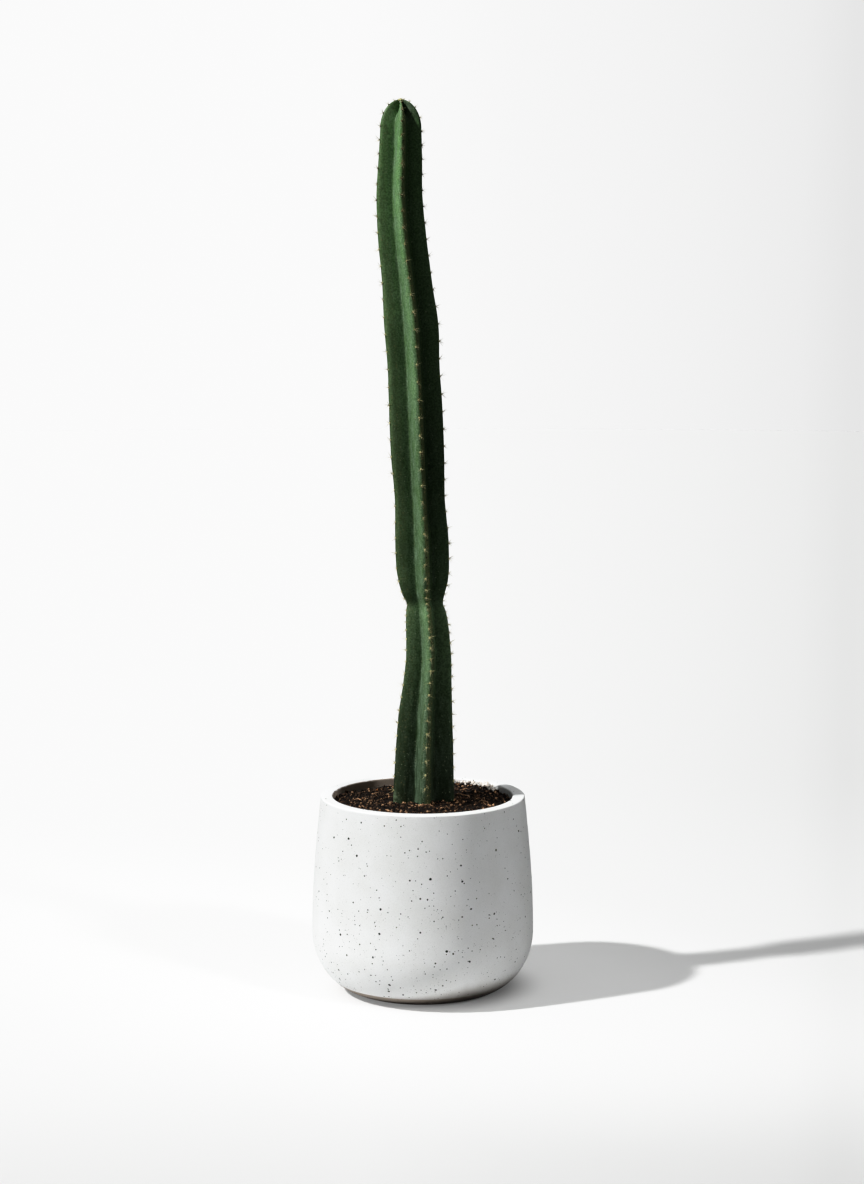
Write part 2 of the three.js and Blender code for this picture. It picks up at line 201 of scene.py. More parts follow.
def made_by(tree, name, mesh, values):
    """A plain mesh piece that a tree makes from a starting mesh, with the tree's named inputs set."""
    piece = shown(name, mesh)
    modifier = piece.modifiers.new(name, "NODES")
    modifier.node_group = tree
    for socket in tree.interface.items_tree:
        if socket.in_out == "INPUT" and socket.name in values:
            modifier[socket.identifier] = values[socket.name]
    depsgraph = bpy.context.evaluated_depsgraph_get()
    made = bpy.data.meshes.new_from_object(piece.evaluated_get(depsgraph), depsgraph=depsgraph)
    piece.modifiers.remove(modifier)
    piece.data = made
    made.name = name
    finish = made.materials[-1]
    made.materials.clear()
    made.materials.append(finish)
    made.polygons.foreach_set("material_index", [0] * len(made.polygons))
    return piece


def line_mesh(name, points, closed, carries):
    """A chain of edges through points, with numbers or directions that each point carries."""
    edges = [(i, i + 1) for i in range(len(points) - 1)]
    if closed:
        edges.append((len(points) - 1, 0))
    mesh = bpy.data.meshes.new(name)
    mesh.from_pydata(points, edges, [])
    for value_name, values in carries.items():
        if isinstance(values[0], Vector):
            attribute = mesh.attributes.new(value_name, "FLOAT_VECTOR", "POINT")
            attribute.data.foreach_set("vector", [number for value in values for number in value])
        else:
            attribute = mesh.attributes.new(value_name, "FLOAT", "POINT")
            attribute.data.foreach_set("value", values)
    return mesh


def arc(centre, radii, start, end, steps):
    """Points on an ellipse in the profile plane, by angle in degrees."""
    angles = [math.radians(start + (end - start) * i / steps) for i in range(steps + 1)]
    return [(centre[0] + radii[0] * math.cos(a), centre[1] + radii[1] * math.sin(a)) for a in angles]


def eased_side(low, high, belly, mouth, steps):
    """Points up a side that leaves its widest line upright and draws in to the mouth."""
    shares = [i / steps for i in range(1, steps)]
    return [(mouth + (belly - mouth) * math.cos(s * math.pi / 2), low + (high - low) * s) for s in shares]


def pot_profile():
    top = POT_HEIGHT - RIM_EDGE
    edge = (RIM_EDGE, RIM_EDGE)
    swell = (BELLY_RADIUS - FOOT_RADIUS, BELLY_HEIGHT)
    hollow = (CAVITY_BELLY_RADIUS - CAVITY_FLOOR_RADIUS, CAVITY_BELLY_HEIGHT - CAVITY_FLOOR)
    wall = eased_side(CAVITY_BELLY_HEIGHT, top, CAVITY_BELLY_RADIUS, MOUTH_RADIUS, WALL_STEPS)
    return [
        *arc((FOOT_RADIUS, BELLY_HEIGHT), swell, -89, 0, BOTTOM_STEPS),
        *eased_side(BELLY_HEIGHT, top, BELLY_RADIUS, RIM_RADIUS, SIDE_STEPS),
        *arc((RIM_RADIUS - RIM_EDGE, top), edge, 0, 90, EDGE_STEPS),
        *arc((MOUTH_RADIUS + RIM_EDGE, top), edge, 90, 180, EDGE_STEPS),
        *wall[::-1],
        *arc((CAVITY_FLOOR_RADIUS, CAVITY_BELLY_HEIGHT), hollow, 0, -90, FLOOR_STEPS),
        (DRAIN_RADIUS, CAVITY_FLOOR),
        (DRAIN_RADIUS, FOOT_RECESS),
        (FOOT_RADIUS - FOOT_WIDTH, FOOT_RECESS),
        (FOOT_RADIUS - FOOT_WIDTH + FOOT_EDGE / 2, 0),
        (FOOT_RADIUS - FOOT_EDGE, 0),
    ]


def turned_tree():
    """Turns a closed profile, whose points carry their reach from the Z axis and their height."""
    tree, given = shape_tree("turned_body", Int=["Facets"], Float=["Unevenness"])
    profile = given["Geometry"].into("GeometryNodeMeshToCurve")
    circle = place(tree, "GeometryNodeCurvePrimitiveCircle", {"Resolution": given["Facets"]})
    circle = stored(circle, "turn", place(tree, "GeometryNodeSplineParameter"))
    body = circle.into("GeometryNodeCurveToMesh", {"Profile Curve": profile})
    angle = carried(tree, "turn") * math.tau
    reach, height = carried(tree, "reach"), carried(tree, "height")
    across, back = reach * maths("COSINE", angle), reach * maths("SINE", angle)
    point = place(tree, "ShaderNodeCombineXYZ", {"X": across, "Y": back, "Z": height})
    turned = body.into("GeometryNodeSetPosition", {"Position": point})
    off_floor = maths("MULTIPLY", height, FOOT_STEADINESS, clamp=True)
    uneven = rippled(turned, POT_WAVES, given["Unevenness"], off_floor)
    return finish_shape(uneven.into("GeometryNodeFlipFaces"), given)


def shader_group(name, inputs, outputs):
    """A group of surface nodes with a vector and plain values. Returns it and its inputs."""
    group = bpy.data.node_groups.new(name, "ShaderNodeTree")
    add_socket(group, "Vector", "Vector")
    for socket_name, value in inputs.items():
        add_socket(group, socket_name, "Float").default_value = value
    for socket_name in outputs:
        add_socket(group, socket_name, "Float", "OUTPUT")
    return group, place(group, "NodeGroupInput")


def step(value, low, high):
    """A smooth rise from 0 at low to 1 at high, or a fall where low is above high."""
    inputs = {"From Min": low, "From Max": high}
    return value.into("ShaderNodeMapRange", inputs, interpolation_type="SMOOTHSTEP")


def mottle_group():
    """Cloudy patches from 0 to 1, where Cover is the share that they take up."""
    group, given = shader_group(
        "mottle", {"Size": 0.01, "Detail": 3.0, "Cover": 0.5, "Softness": 0.15}, ["Mask"]
    )
    grain = {"Scale": 1.0 / given["Size"], "Detail": given["Detail"]}
    clouds = given["Vector"].into("ShaderNodeTexNoise", grain)
    middle = (1.0 - given["Cover"]).times(0.5, plus=0.25)
    softness = given["Softness"]
    place(group, "NodeGroupOutput", {"Mask": step(clouds, middle - softness, middle + softness)})
    return group


def specks_group():
    """Scattered ragged spots. Share is how many are kept, and Tone is a random value for each."""
    group, given = shader_group(
        "specks", {"Spacing": 0.006, "Radius": 0.0008, "Share": 1.0, "Raggedness": 0.3}, ["Mask", "Tone"]
    )
    at, spacing, radius = given["Vector"], given["Spacing"], given["Radius"]
    cells = at.into("ShaderNodeTexVoronoi", {"Scale": 1.0 / spacing})
    chance = cells["Color"].into("ShaderNodeSeparateColor")
    frill = at.into("ShaderNodeTexNoise", {"Scale": 0.6 / radius, "Detail": 2.0})
    ragged = (frill - 0.5) * given["Raggedness"]
    reach = radius * chance["Red"].times(0.9, plus=0.35) * ragged.times(4.0, plus=1.0)
    spot = step(cells["Distance"] * spacing, reach, reach * 0.75)
    kept = maths("LESS_THAN", chance["Green"], given["Share"])
    place(group, "NodeGroupOutput", {"Mask": spot * kept, "Tone": chance["Blue"]})
    return group


MOTTLE = mottle_group()
SPECKS = specks_group()


def effect(group, vector, **values):
    """A group of surface nodes on a vector, with the values that differ from the group's own."""
    return vector.into("ShaderNodeGroup", values, node_tree=group)


def finish_of(name):
    """A new material, and the coordinates of the object that it is on."""
    material = bpy.data.materials.new(name)
    material.use_nodes = True
    return material, place(material.node_tree, "ShaderNodeTexCoord")["Object"]


def surfaced(material, colour, roughness, relief=None, gloss=None):
    """Gives a material's shader its colour, its roughness, its relief and its specular level."""
    inputs = {"Base Color": colour, "Roughness": roughness, "Normal": relief, "Specular IOR Level": gloss}
    shader = material.node_tree.nodes["Principled BSDF"]
    feed(shader, {name: value for name, value in inputs.items() if value is not None})
    return material


def mixed(share, under, over, how="MIX"):
    """One colour laid over another. Colours are fields or (red, green, blue)."""
    colours = [(*c, 1.0) if isinstance(c, tuple) else c for c in (under, over)]
    inputs = {0: share, 6: colours[0], 7: colours[1]}
    return place(tree_of(inputs.values()), "ShaderNodeMix", inputs, data_type="RGBA", blend_type=how)


def layered(colour, *layers):
    """Lays colours over one another. Each layer is (share, colour) or (share, colour, way of mixing)."""
    for share, *over in layers:
        colour = mixed(share, colour, *over)
    return colour


def grey(value):
    return place(value.tree, "ShaderNodeCombineColor", {"Red": value, "Green": value, "Blue": value})


def noise(at, scale, detail):
    return at.into("ShaderNodeTexNoise", {"Scale": scale, "Detail": detail})


def bump(height, distance, strength):
    """Raises the surface by a height from 0 to 1 over a distance."""
    inputs = {"Height": height, "Distance": distance, "Strength": strength}
    return place(height.tree, "ShaderNodeBump", inputs)


POT_WHITE = (0.765, 0.772, 0.768)
POT_CLOUD = (0.728, 0.733, 0.722)
POT_GRAIN_DARK = (0.018, 0.024, 0.018)
POT_GRAIN_OLIVE = (0.095, 0.100, 0.062)
POT_GRAIN_GREY = (0.21, 0.21, 0.19)
OLIVE_TONES = (0.7, 0.95)
CROWDED_GRAINS = (0.15, 0.05)
INNER_WALL = (MOUTH_RADIUS + 0.0012, MOUTH_RADIUS + 0.0004)
# A soil stain on the inner wall above the soil line. On the left, where the wall is in shade, it climbs
# towards the rim as painted shade.
POT_STAIN_AND_SHADE = (0.30, 0.235, 0.18)
STAIN_LEVEL = 0.1905
STAIN_SPLASH = 0.004
STAIN_AND_SHADE_CLIMB = 0.007
STAIN_AND_SHADE_SIDE = (0.03, -0.01)
STAIN_EDGE = (0.0012, -0.0012)
# Painted contact shade with a little grime: towards the foot the pot is painted warmer and then near black,
# higher on the right, shade side.
POT_WARM_SHADE = (0.66, 0.60, 0.52)
WARM_SHADE_CLIMB = (0.022, 0.006)
POT_GRIME_AND_SHADE = (0.034, 0.027, 0.021)
GRIME_AND_SHADE_CLIMB = (0.0215, 0.0045)
SHADE_SIDE_SLOPE, SHADE_SIDE_MIDDLE, SHADE_SIDE_LEAST = -9.0, 1.05, 0.66


def pot_material():
    material, at = finish_of("cast_speckled_mineral")
    clouds = effect(MOTTLE, at, Size=0.03, Detail=4.0, Softness=0.25)
    sand = effect(MOTTLE, at, Size=0.0009, Detail=2.0, Cover=0.4, Softness=0.14)
    pores = effect(SPECKS, at, Spacing=0.0055, Radius=0.00045, Share=0.5)

    axes = at.into("ShaderNodeSeparateXYZ")
    lower = step(axes["Z"], *CROWDED_GRAINS)
    crowd = effect(MOTTLE, at, Size=0.03, Detail=2.0, Softness=0.2) * lower.times(0.55, plus=0.4)
    small_share, large_share = lower.times(0.4, plus=0.4), lower.times(0.15, plus=0.5)
    dust = effect(SPECKS, at, Spacing=0.0020, Radius=0.00034, Share=crowd)
    small = effect(SPECKS, at, Spacing=0.0041, Radius=0.00064, Share=small_share, Raggedness=0.2)
    large = effect(SPECKS, at, Spacing=0.0080, Radius=0.00115, Share=large_share, Raggedness=0.35)
    tones = [
        mixed(step(spots["Tone"], *OLIVE_TONES), POT_GRAIN_DARK, POT_GRAIN_OLIVE) for spots in (small, large)
    ]

    across = place(material.node_tree, "ShaderNodeCombineXYZ", {"X": axes["X"], "Y": axes["Y"]})
    inside = step(vector_maths("LENGTH", across), *INNER_WALL)
    # Soil stain on the inner wall, climbing higher on the left as painted shade.
    splash = effect(MOTTLE, at, Size=0.006, Detail=4.0, Softness=0.25)
    line = splash.times(STAIN_SPLASH, plus=STAIN_LEVEL) + step(axes["X"], *STAIN_AND_SHADE_SIDE) * STAIN_AND_SHADE_CLIMB
    stain_and_shade = inside * step(axes["Z"] - line, *STAIN_EDGE)
    # Painted contact shade with a little grime at the foot. It climbs higher towards +X, the pot's shade
    # side.
    grime_and_shade_noise = effect(MOTTLE, at, Size=0.012, Softness=0.3)
    wider_on_shade_side = maths("MAXIMUM", axes["X"].times(SHADE_SIDE_SLOPE, plus=SHADE_SIDE_MIDDLE), SHADE_SIDE_LEAST)
    low = grime_and_shade_noise.times(0.0010, plus=axes["Z"] * wider_on_shade_side)
    colour = layered(
        mixed(clouds, POT_WHITE, POT_CLOUD),
        (sand * 0.07, POT_GRAIN_GREY),
        (dust * 0.7, POT_GRAIN_GREY),
        (small, tones[0]),
        (large, tones[1]),
        (stain_and_shade * 0.85, POT_STAIN_AND_SHADE),
        (step(low, *WARM_SHADE_CLIMB) * 0.5, POT_WARM_SHADE),
        (step(low, *GRIME_AND_SHADE_CLIMB) * 0.97, POT_GRIME_AND_SHADE),
        (pores * 0.3, POT_GRAIN_GREY),
    )
    relief = bump(noise(at, 1300.0, 3.0) * 0.35 - pores, 0.00025, 0.5)
    return surfaced(material, colour, clouds.times(0.1, plus=0.68), relief, gloss=0.3)


pot_points = pot_profile()
pot_line = line_mesh(
    "pot_profile",
    [(radius, 0, height) for radius, height in pot_points],
    closed=True,
    carries=dict(zip(("reach", "height"), zip(*pot_points))),
)
pot = made_by(
    turned_tree(),
    "cast_pot",
    pot_line,
    {"Facets": POT_FACETS, "Unevenness": POT_UNEVENNESS, "Material": pot_material()},
)
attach(pot, "root")
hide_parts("pot")


# The soil is a coarse potting mix that fills the pot to just under the rim. Its bed keeps the
# frame's solid, and loose granules of bark and baked clay lie on it, with a little white grit.

SOIL_DARK = (0.0080, 0.0052, 0.0035)
SOIL_BROWN = (0.145, 0.083, 0.048)
SOIL_TAN = (0.76, 0.475, 0.285)
SOIL_ORANGE = (0.42, 0.16, 0.045)
SOIL_TINTS = [
    # place among the random tints, colour
    (0.0, SOIL_DARK), (0.12, SOIL_DARK), (0.30, SOIL_BROWN), (0.55, SOIL_BROWN),
    (0.78, SOIL_TAN), (0.985, SOIL_TAN), (1.0, SOIL_ORANGE),
]
# Painted shade: crumbs are darker low down, close to the bed and between their neighbours.
GAP_SHADE_DEPTHS = (0.0019, 0.0006)
SOIL_TOP = 0.183
BED_SLOPE = 0.4
GRAIN_SHAPES = 6
GRAIN_CORNERS = 14
GRAIN_SIZE = 0.0029
GRAIN_SPACING = 0.0020
GRAIN_CROWD = 900000.0
GRAIN_SEED = 11
GRIT_SIZE = 0.0040
GRIT_WHITE = (0.72, 0.72, 0.69)
GRIT_PLACES = [
    # to the right, to the back, share of full size
    (0.0660, 0.0500, 1.6), (0.0620, 0.0520, 1.5), (0.0690, 0.0480, 1.3), (0.0640, 0.0560, 1.5),
    (0.0660, 0.0580, 1.3), (0.0590, 0.0600, 1.3), (0.0540, 0.0640, 1.1), (0.0580, 0.0520, 0.9),
    (0.0500, 0.0670, 1.3), (0.0460, 0.0690, 1.0), (0.0415, 0.0725, 1.2), (0.0370, 0.0755, 1.1),
    (0.0320, 0.0780, 1.1), (0.0560, 0.0575, 0.8), (0.0440, 0.0640, 0.8), (0.0680, 0.0430, 0.9),
    (0.0700, 0.0440, 1.6), (0.0675, 0.0470, 1.5), (0.0720, 0.0400, 1.2), (0.0635, 0.0500, 1.3),
    (0.0600, 0.0555, 1.3), (0.0520, 0.0620, 1.3), (0.0550, 0.0605, 1.2), (0.0480, 0.0650, 1.2),
    (0.0440, 0.0690, 1.2), (0.0400, 0.0720, 1.2), (0.0350, 0.0740, 1.1), (0.0615, 0.0500, 0.9),
    (0.0730, 0.0440, 1.3), (0.0535, 0.0570, 0.8), (0.0640, 0.0610, 1.4), (0.0710, 0.0500, 1.4),
]
BARK_SLIVERS = [
    # from, to, width
    ((0.0330, 0.0265), (0.0478, 0.0030), 0.0016), ((-0.0500, 0.0350), (-0.0430, 0.0440), 0.0013),
    ((0.0660, -0.0120), (0.0570, -0.0030), 0.0013), ((0.0240, -0.0100), (0.0330, -0.0170), 0.0013),
    ((0.0380, 0.0420), (0.0480, 0.0460), 0.0012), ((-0.0700, 0.0050), (-0.0620, -0.0030), 0.0012),
]
SLIVER_RINGS = 8
SLIVER_SIDES = 6


def mesh_of(shape, name):
    mesh = bpy.data.meshes.new(name)
    shape.to_mesh(mesh)
    shape.free()
    return mesh


def crumb(name, flatness, chance):
    """One crumb of soil: the hull of random corners in a ball, about 1 across."""
    shape = bmesh.new()
    while len(shape.verts) < GRAIN_CORNERS:
        corner = Vector([chance.gauss(0, 1) for _ in range(3)]).normalized()
        corner *= 0.5 * chance.uniform(0.78, 1.0)
        corner.z *= flatness
        shape.verts.new(corner)
    hull = bmesh.ops.convex_hull(shape, input=shape.verts)
    inner = [v for v in hull["geom_interior"] if isinstance(v, bmesh.types.BMVert)]
    bmesh.ops.delete(shape, geom=inner, context="VERTS")
    bmesh.ops.recalc_face_normals(shape, faces=shape.faces)
    return bpy.data.objects.new(name, mesh_of(shape, name))


def random_value(tree, low, high, seed, kind="FLOAT"):
    inputs = {"Min": low, "Max": high, "Seed": seed}
    return place(tree, "FunctionNodeRandomValue", inputs, data_type=kind)


def strewn_tree():
    """Strews crumbs on the bed's top above the lowest height, and one on each given point."""
    sizes = ["Lowest", "Spacing", "Size", "Size spread", "Depth"]
    tree, given = shape_tree(
        "strewn_crumbs", Object=["Bed"], Collection=["Crumbs"], Float=sizes, Int=["Seed"]
    )
    bed = given["Bed"].into("GeometryNodeObjectInfo")["Geometry"]
    height = place(tree, "GeometryNodeInputPosition").into("ShaderNodeSeparateXYZ")["Z"]
    facing = place(tree, "GeometryNodeInputNormal").into("ShaderNodeSeparateXYZ")["Z"]
    top = maths("GREATER_THAN", height, given["Lowest"]) * maths("GREATER_THAN", facing, BED_SLOPE)
    crowd = {"Distance Min": given["Spacing"], "Density Max": GRAIN_CROWD, "Seed": given["Seed"]}
    strewn = bed.into(
        "GeometryNodeDistributePointsOnFaces", {"Selection": top, **crowd}, distribute_method="POISSON"
    )
    points = place(tree, "GeometryNodeJoinGeometry")
    for part in (stored(strewn, "share", 1.0), given["Geometry"].into("GeometryNodeMeshToPoints")):
        tree.links.new(part.socket, points.socket.node.inputs["Geometry"])
    sink = random_value(tree, -1.0, 1.0, 3) * given["Depth"]
    offset = place(tree, "ShaderNodeCombineXYZ", {"Z": sink})
    few_large = maths("POWER", random_value(tree, 0.0, 1.0, 7), 3.0) * 1.7 - 0.5
    scale = few_large.times(given["Size spread"], plus=1.0) * carried(tree, "share")
    shapes = {"Separate Children": True, "Reset Children": True}
    crumbs = points.into("GeometryNodeSetPosition", {"Offset": offset}).into(
        "GeometryNodeInstanceOnPoints",
        {
            "Instance": given["Crumbs"].into("GeometryNodeCollectionInfo", shapes),
            "Pick Instance": True,
            "Rotation": random_value(tree, (0.0,) * 3, (math.tau,) * 3, 5, "FLOAT_VECTOR"),
            "Scale": scale * given["Size"],
        },
    )
    tinted = stored(crumbs, "tint", random_value(tree, 0.0, 1.0, 9), "INSTANCE")
    above_bed = bed.into("GeometryNodeProximity", target_element="FACES")["Distance"]
    return finish_shape(stored(tinted.into("GeometryNodeRealizeInstances"), "raised", above_bed), given)


def ramp(value, stops):
    """A colour picked along stops of place and colour."""
    picked = value.into("ShaderNodeValToRGB")
    elements = picked.socket.node.color_ramp.elements
    while len(elements) < len(stops):
        elements.new(0.5)
    for element, (position, colour) in zip(elements, stops):
        element.position = position
        element.color = (*colour, 1.0)
    return picked


def mesh_value(at, name):
    return place(at.tree, "ShaderNodeAttribute", attribute_name=name)["Fac"]


def soil_material():
    material, at = finish_of("soil_granules")
    colour = ramp(mesh_value(at, "tint"), SOIL_TINTS)
    patches = effect(MOTTLE, at, Size=0.0016, Softness=0.2)
    damp = effect(MOTTLE, at, Size=0.03, Detail=2.0, Softness=0.3)
    # Painted shade on the low parts of the crumbs, between them.
    low = step(mesh_value(at, "raised"), *GAP_SHADE_DEPTHS)
    colour = layered(colour, *[(share, SOIL_DARK) for share in (patches * 0.4, damp * 0.3, low * 0.9)])
    relief = bump(noise(at, 2400.0, 3.0), 0.0004, 0.8)
    return surfaced(material, colour, damp.times(-0.2, plus=0.85), relief, gloss=0.3)


def grit_material():
    material, at = finish_of("white_grit")
    patches = effect(MOTTLE, at, Size=0.0016, Cover=0.45, Softness=0.2)
    colour = mixed(patches * 0.35, GRIT_WHITE, SOIL_TAN)
    return surfaced(material, colour, 0.9, bump(noise(at, 2600.0, 3.0), 0.0003, 0.7))


soil_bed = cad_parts["soil"]
SOIL_FINISH = soil_material()
soil_bed.data.materials.clear()
soil_bed.data.materials.append(SOIL_FINISH)
STREWN = strewn_tree()

draw = random.Random(GRAIN_SEED)
crumbs = bpy.data.collections.new("crumb_shapes")
for i in range(GRAIN_SHAPES):
    crumbs.objects.link(crumb(f"crumb_{i}", draw.uniform(0.7, 1.0), draw))


def strewn_values(size, spread, depth, seed, finish, lowest=1.0, spacing=1.0):
    """Values for the tree of crumbs, which lie on given points alone unless lowest and spacing are set."""
    return {
        "Bed": soil_bed, "Lowest": lowest, "Spacing": spacing, "Crumbs": crumbs, "Size": size,
        "Size spread": spread, "Depth": depth, "Seed": seed, "Material": finish,
    }


granules = made_by(
    STREWN,
    "soil_granules",
    bpy.data.meshes.new("soil_granules"),
    strewn_values(GRAIN_SIZE, 0.5, 0.0010, GRAIN_SEED, SOIL_FINISH, SOIL_TOP, GRAIN_SPACING),
)
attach(granules, "root")


def soil_top(x, y):
    """Height of the soil bed at a place."""
    hit, point, _, _ = soil_bed.ray_cast(Vector((x, y, 0.25)), Vector((0, 0, -1)))
    return point.z if hit else SOIL_TOP


def crumbs_at(name, places):
    """Loose points on the soil, each at (right, back, lift, share of full size)."""
    points = [(x, y, soil_top(x, y) + lift) for x, y, lift, _ in places]
    return line_mesh(name, points, closed=False, carries={"share": [row[3] for row in places]})


grit_rows = [(x, y, GRIT_SIZE * (0.3 + 0.4 * share), share) for x, y, share in GRIT_PLACES]
grit = made_by(
    STREWN,
    "white_grit",
    crumbs_at("white_grit", grit_rows),
    strewn_values(GRIT_SIZE, 0.3, 0.0002, GRAIN_SEED, grit_material()),
)
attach(grit, "root")


def tube(shape, rings, tip=None):
    """Adds a skin over rings of points, closed flat at its start, and flat or in a tip at its end."""
    rows = [[shape.verts.new(point) for point in ring] for ring in rings]
    pairs = [(i, (i + 1) % len(rows[0])) for i in range(len(rows[0]))]
    shape.faces.new(rows[0][::-1])
    for low, high in zip(rows, rows[1:]):
        for i, j in pairs:
            shape.faces.new((low[i], low[j], high[j], high[i]))
    if tip is None:
        shape.faces.new(rows[-1])
        return
    point = shape.verts.new(tip)
    for i, j in pairs:
        shape.faces.new((rows[-1][i], rows[-1][j], point))


def sliver_rings(start, end, width, chance):
    """Rings of a splinter of bark on the soil, bent a little and thin at its ends."""
    rings = []
    along_it = Vector(end) - Vector(start)
    across = Vector((-along_it.y, along_it.x)).normalized()
    for i in range(SLIVER_RINGS + 1):
        share = i / SLIVER_RINGS
        bow = math.sin(math.pi * share)
        x, y = Vector(start) + along_it * share + across * bow * along_it.length * 0.07
        z = soil_top(x, y) + GRAIN_SIZE * (0.55 + 0.25 * bow)
        girth = width * (0.16 + 0.34 * bow) * chance.uniform(0.85, 1.1)
        ring = []
        for k in range(SLIVER_SIDES):
            turn = math.tau * k / SLIVER_SIDES
            off = across * girth * math.cos(turn)
            ring.append((x + off.x, y + off.y, z + 0.7 * girth * math.sin(turn)))
        rings.append(ring)
    return rings


def bark_material():
    material, at = finish_of("bark_slivers")
    fibres = effect(MOTTLE, at, Size=0.0008, Detail=4.0, Softness=0.2)
    return surfaced(material, mixed(fibres, SOIL_BROWN, SOIL_TAN), 0.8, bump(fibres, 0.0003, 0.8))


sliver_shapes = bmesh.new()
for start, end, width in BARK_SLIVERS:
    tube(sliver_shapes, sliver_rings(start, end, width, draw))
bmesh.ops.recalc_face_normals(sliver_shapes, faces=sliver_shapes.faces)
sliver_mesh = mesh_of(sliver_shapes, "bark_slivers")
sliver_mesh.shade_smooth()
sliver_mesh.materials.append(bark_material())
slivers = shown("bark_slivers", sliver_mesh)
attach(slivers, "root")


# The stem is one fleshy column that grew as a single piece. Its five ribs are thin rounded wedges
# with deep furrows between them, it narrows where its growth once stopped, and it ends in a dome.

STEM_PATH = [
    # height, to the right, to the back, half width from the front, turn in degrees
    (0.201, 0.0012, -0.008, 0.0308, 1.5), (0.239, 0.0016, -0.009, 0.0294, 3.0),
    (0.284, 0.0024, -0.010, 0.0272, 5.0), (0.313, 0.0041, -0.011, 0.0246, 6.0),
    (0.344, 0.0054, -0.012, 0.0227, 7.0), (0.376, 0.0041, -0.012, 0.0212, 5.0),
    (0.389, 0.0029, -0.012, 0.0197, 6.0), (0.396, 0.0019, -0.012, 0.0180, 7.0),
    (0.405, 0.0003, -0.012, 0.0212, 8.0), (0.419, 0.0000, -0.012, 0.0248, 7.0),
    (0.435, -0.0005, -0.011, 0.0265, 6.0), (0.463, -0.0014, -0.011, 0.0266, 7.0),
    (0.500, -0.0034, -0.010, 0.0251, 7.5), (0.547, -0.0058, -0.009, 0.0267, 8.0),
    (0.597, -0.0079, -0.007, 0.0266, 8.5), (0.627, -0.0095, -0.006, 0.0259, 9.0),
    (0.672, -0.0120, -0.005, 0.0270, 8.5), (0.712, -0.0155, -0.004, 0.0248, 6.0),
    (0.757, -0.0202, -0.003, 0.0240, 5.0), (0.797, -0.0228, -0.002, 0.0227, 5.5),
    (0.832, -0.0218, -0.002, 0.0215, 5.0), (0.861, -0.0212, -0.002, 0.0203, 4.0),
]
STEM_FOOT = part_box("stem")[0].z
STEM_COLLAR = STEM_PATH[0][0]
DOME_BASE = STEM_PATH[-1][0]
DOME_RIB_RISE = 0.0285
DOME_VALLEY_RISE = 0.0165
DOME_CREST_LENGTH = 0.039
DOME_LAST_SHARE = 0.94
DOME_RINGS = 18
RING_STEP = 0.0034
RIB_AZIMUTHS = [-70, 0, 65, 138, 213]
BAND_SHARES = [0.2, 1.0, 0.3, 0.6, 0.5]
EVEN_FLANK = (1.0, 1.0, 1.0)
# Painted light and shade: each rib's flanks are made lighter where the key light falls on them and darker in
# shade, and the tips darker.
PAINTED_FLANK_TONES = [
    # painted light and shade as a skin tone in the furrow, on the crest and at the tip, before each crest
    # and after it
    ((0.80, 0.64, 0.8), (1.12, 0.62, 0.8)), ((1.22, 1.12, 0.72), (0.95, 0.95, 0.6)),
    ((0.80, 0.60, 0.4), (0.70, 1.0, 0.6)), (EVEN_FLANK, EVEN_FLANK), (EVEN_FLANK, EVEN_FLANK),
]
SILHOUETTE_SHARE = 0.945
VALLEY_SHARE = 0.5
WAIST_VALLEY_SHARE = 0.58
WAIST_HEIGHT = 0.396
WAIST_REACH = 0.022
TIP_VALLEY_SHARE = 0.56
FLANK_ANGLE = math.radians(17)
VALLEY_ROUNDING = 0.86
RIB_POINTS = 15
CREST_CROWDING = 1.25
CREST_BLEND = 0.20
SAME_POINT = 0.00002
SKIN_WRINKLES = 0.0005
SKIN_SWELLINGS = {"Scale": 55.0, "Detail": 2.0}


def along(rows, height):
    """Smooth curve through rows of (height, values...), held at the end rows."""
    last = len(rows) - 1
    height = min(max(height, rows[0][0]), rows[last][0])
    i = next((k for k in range(last) if rows[k + 1][0] >= height), last - 1)
    span = rows[i + 1][0] - rows[i][0]
    t = (height - rows[i][0]) / span

    def slope(k, column):
        before, after = rows[max(k - 1, 0)], rows[min(k + 1, last)]
        return (after[column] - before[column]) / (after[0] - before[0])

    values = []
    for column in range(1, len(rows[0])):
        start, end = rows[i][column], rows[i + 1][column]
        bend = span * t * (1 - t) * ((1 - t) * slope(i, column) - t * slope(i + 1, column))
        values.append(start + (end - start) * t * t * (3 - 2 * t) + bend)
    return values


def stem_section(station):
    """Centre, turn, and reach and height of crests and valleys, at a station along the crests."""
    x, y, half_width, turn = along(STEM_PATH, station)
    angle = max(station - DOME_BASE, 0) / DOME_CREST_LENGTH * math.pi / 2
    near_waist = math.exp(-(((station - WAIST_HEIGHT) / WAIST_REACH) ** 2))
    share = VALLEY_SHARE + (WAIST_VALLEY_SHARE - VALLEY_SHARE) * near_waist
    share += (TIP_VALLEY_SHARE - share) * math.sin(angle) ** 4
    crest = half_width / SILHOUETTE_SHARE * math.cos(angle)
    base = min(station, DOME_BASE)
    return {
        "centre_x": x,
        "centre_y": y,
        "turn": math.radians(turn),
        "crest": crest,
        "valley": crest * share,
        "crest_height": base + DOME_RIB_RISE * math.sin(angle),
        "valley_height": base + DOME_VALLEY_RISE * math.sin(angle),
    }


def on_section(section, reach, angle):
    """Place to the right and to the back of a point that is some way out from the stem's middle."""
    return section["centre_x"] + reach * math.sin(angle), section["centre_y"] - reach * math.cos(angle)


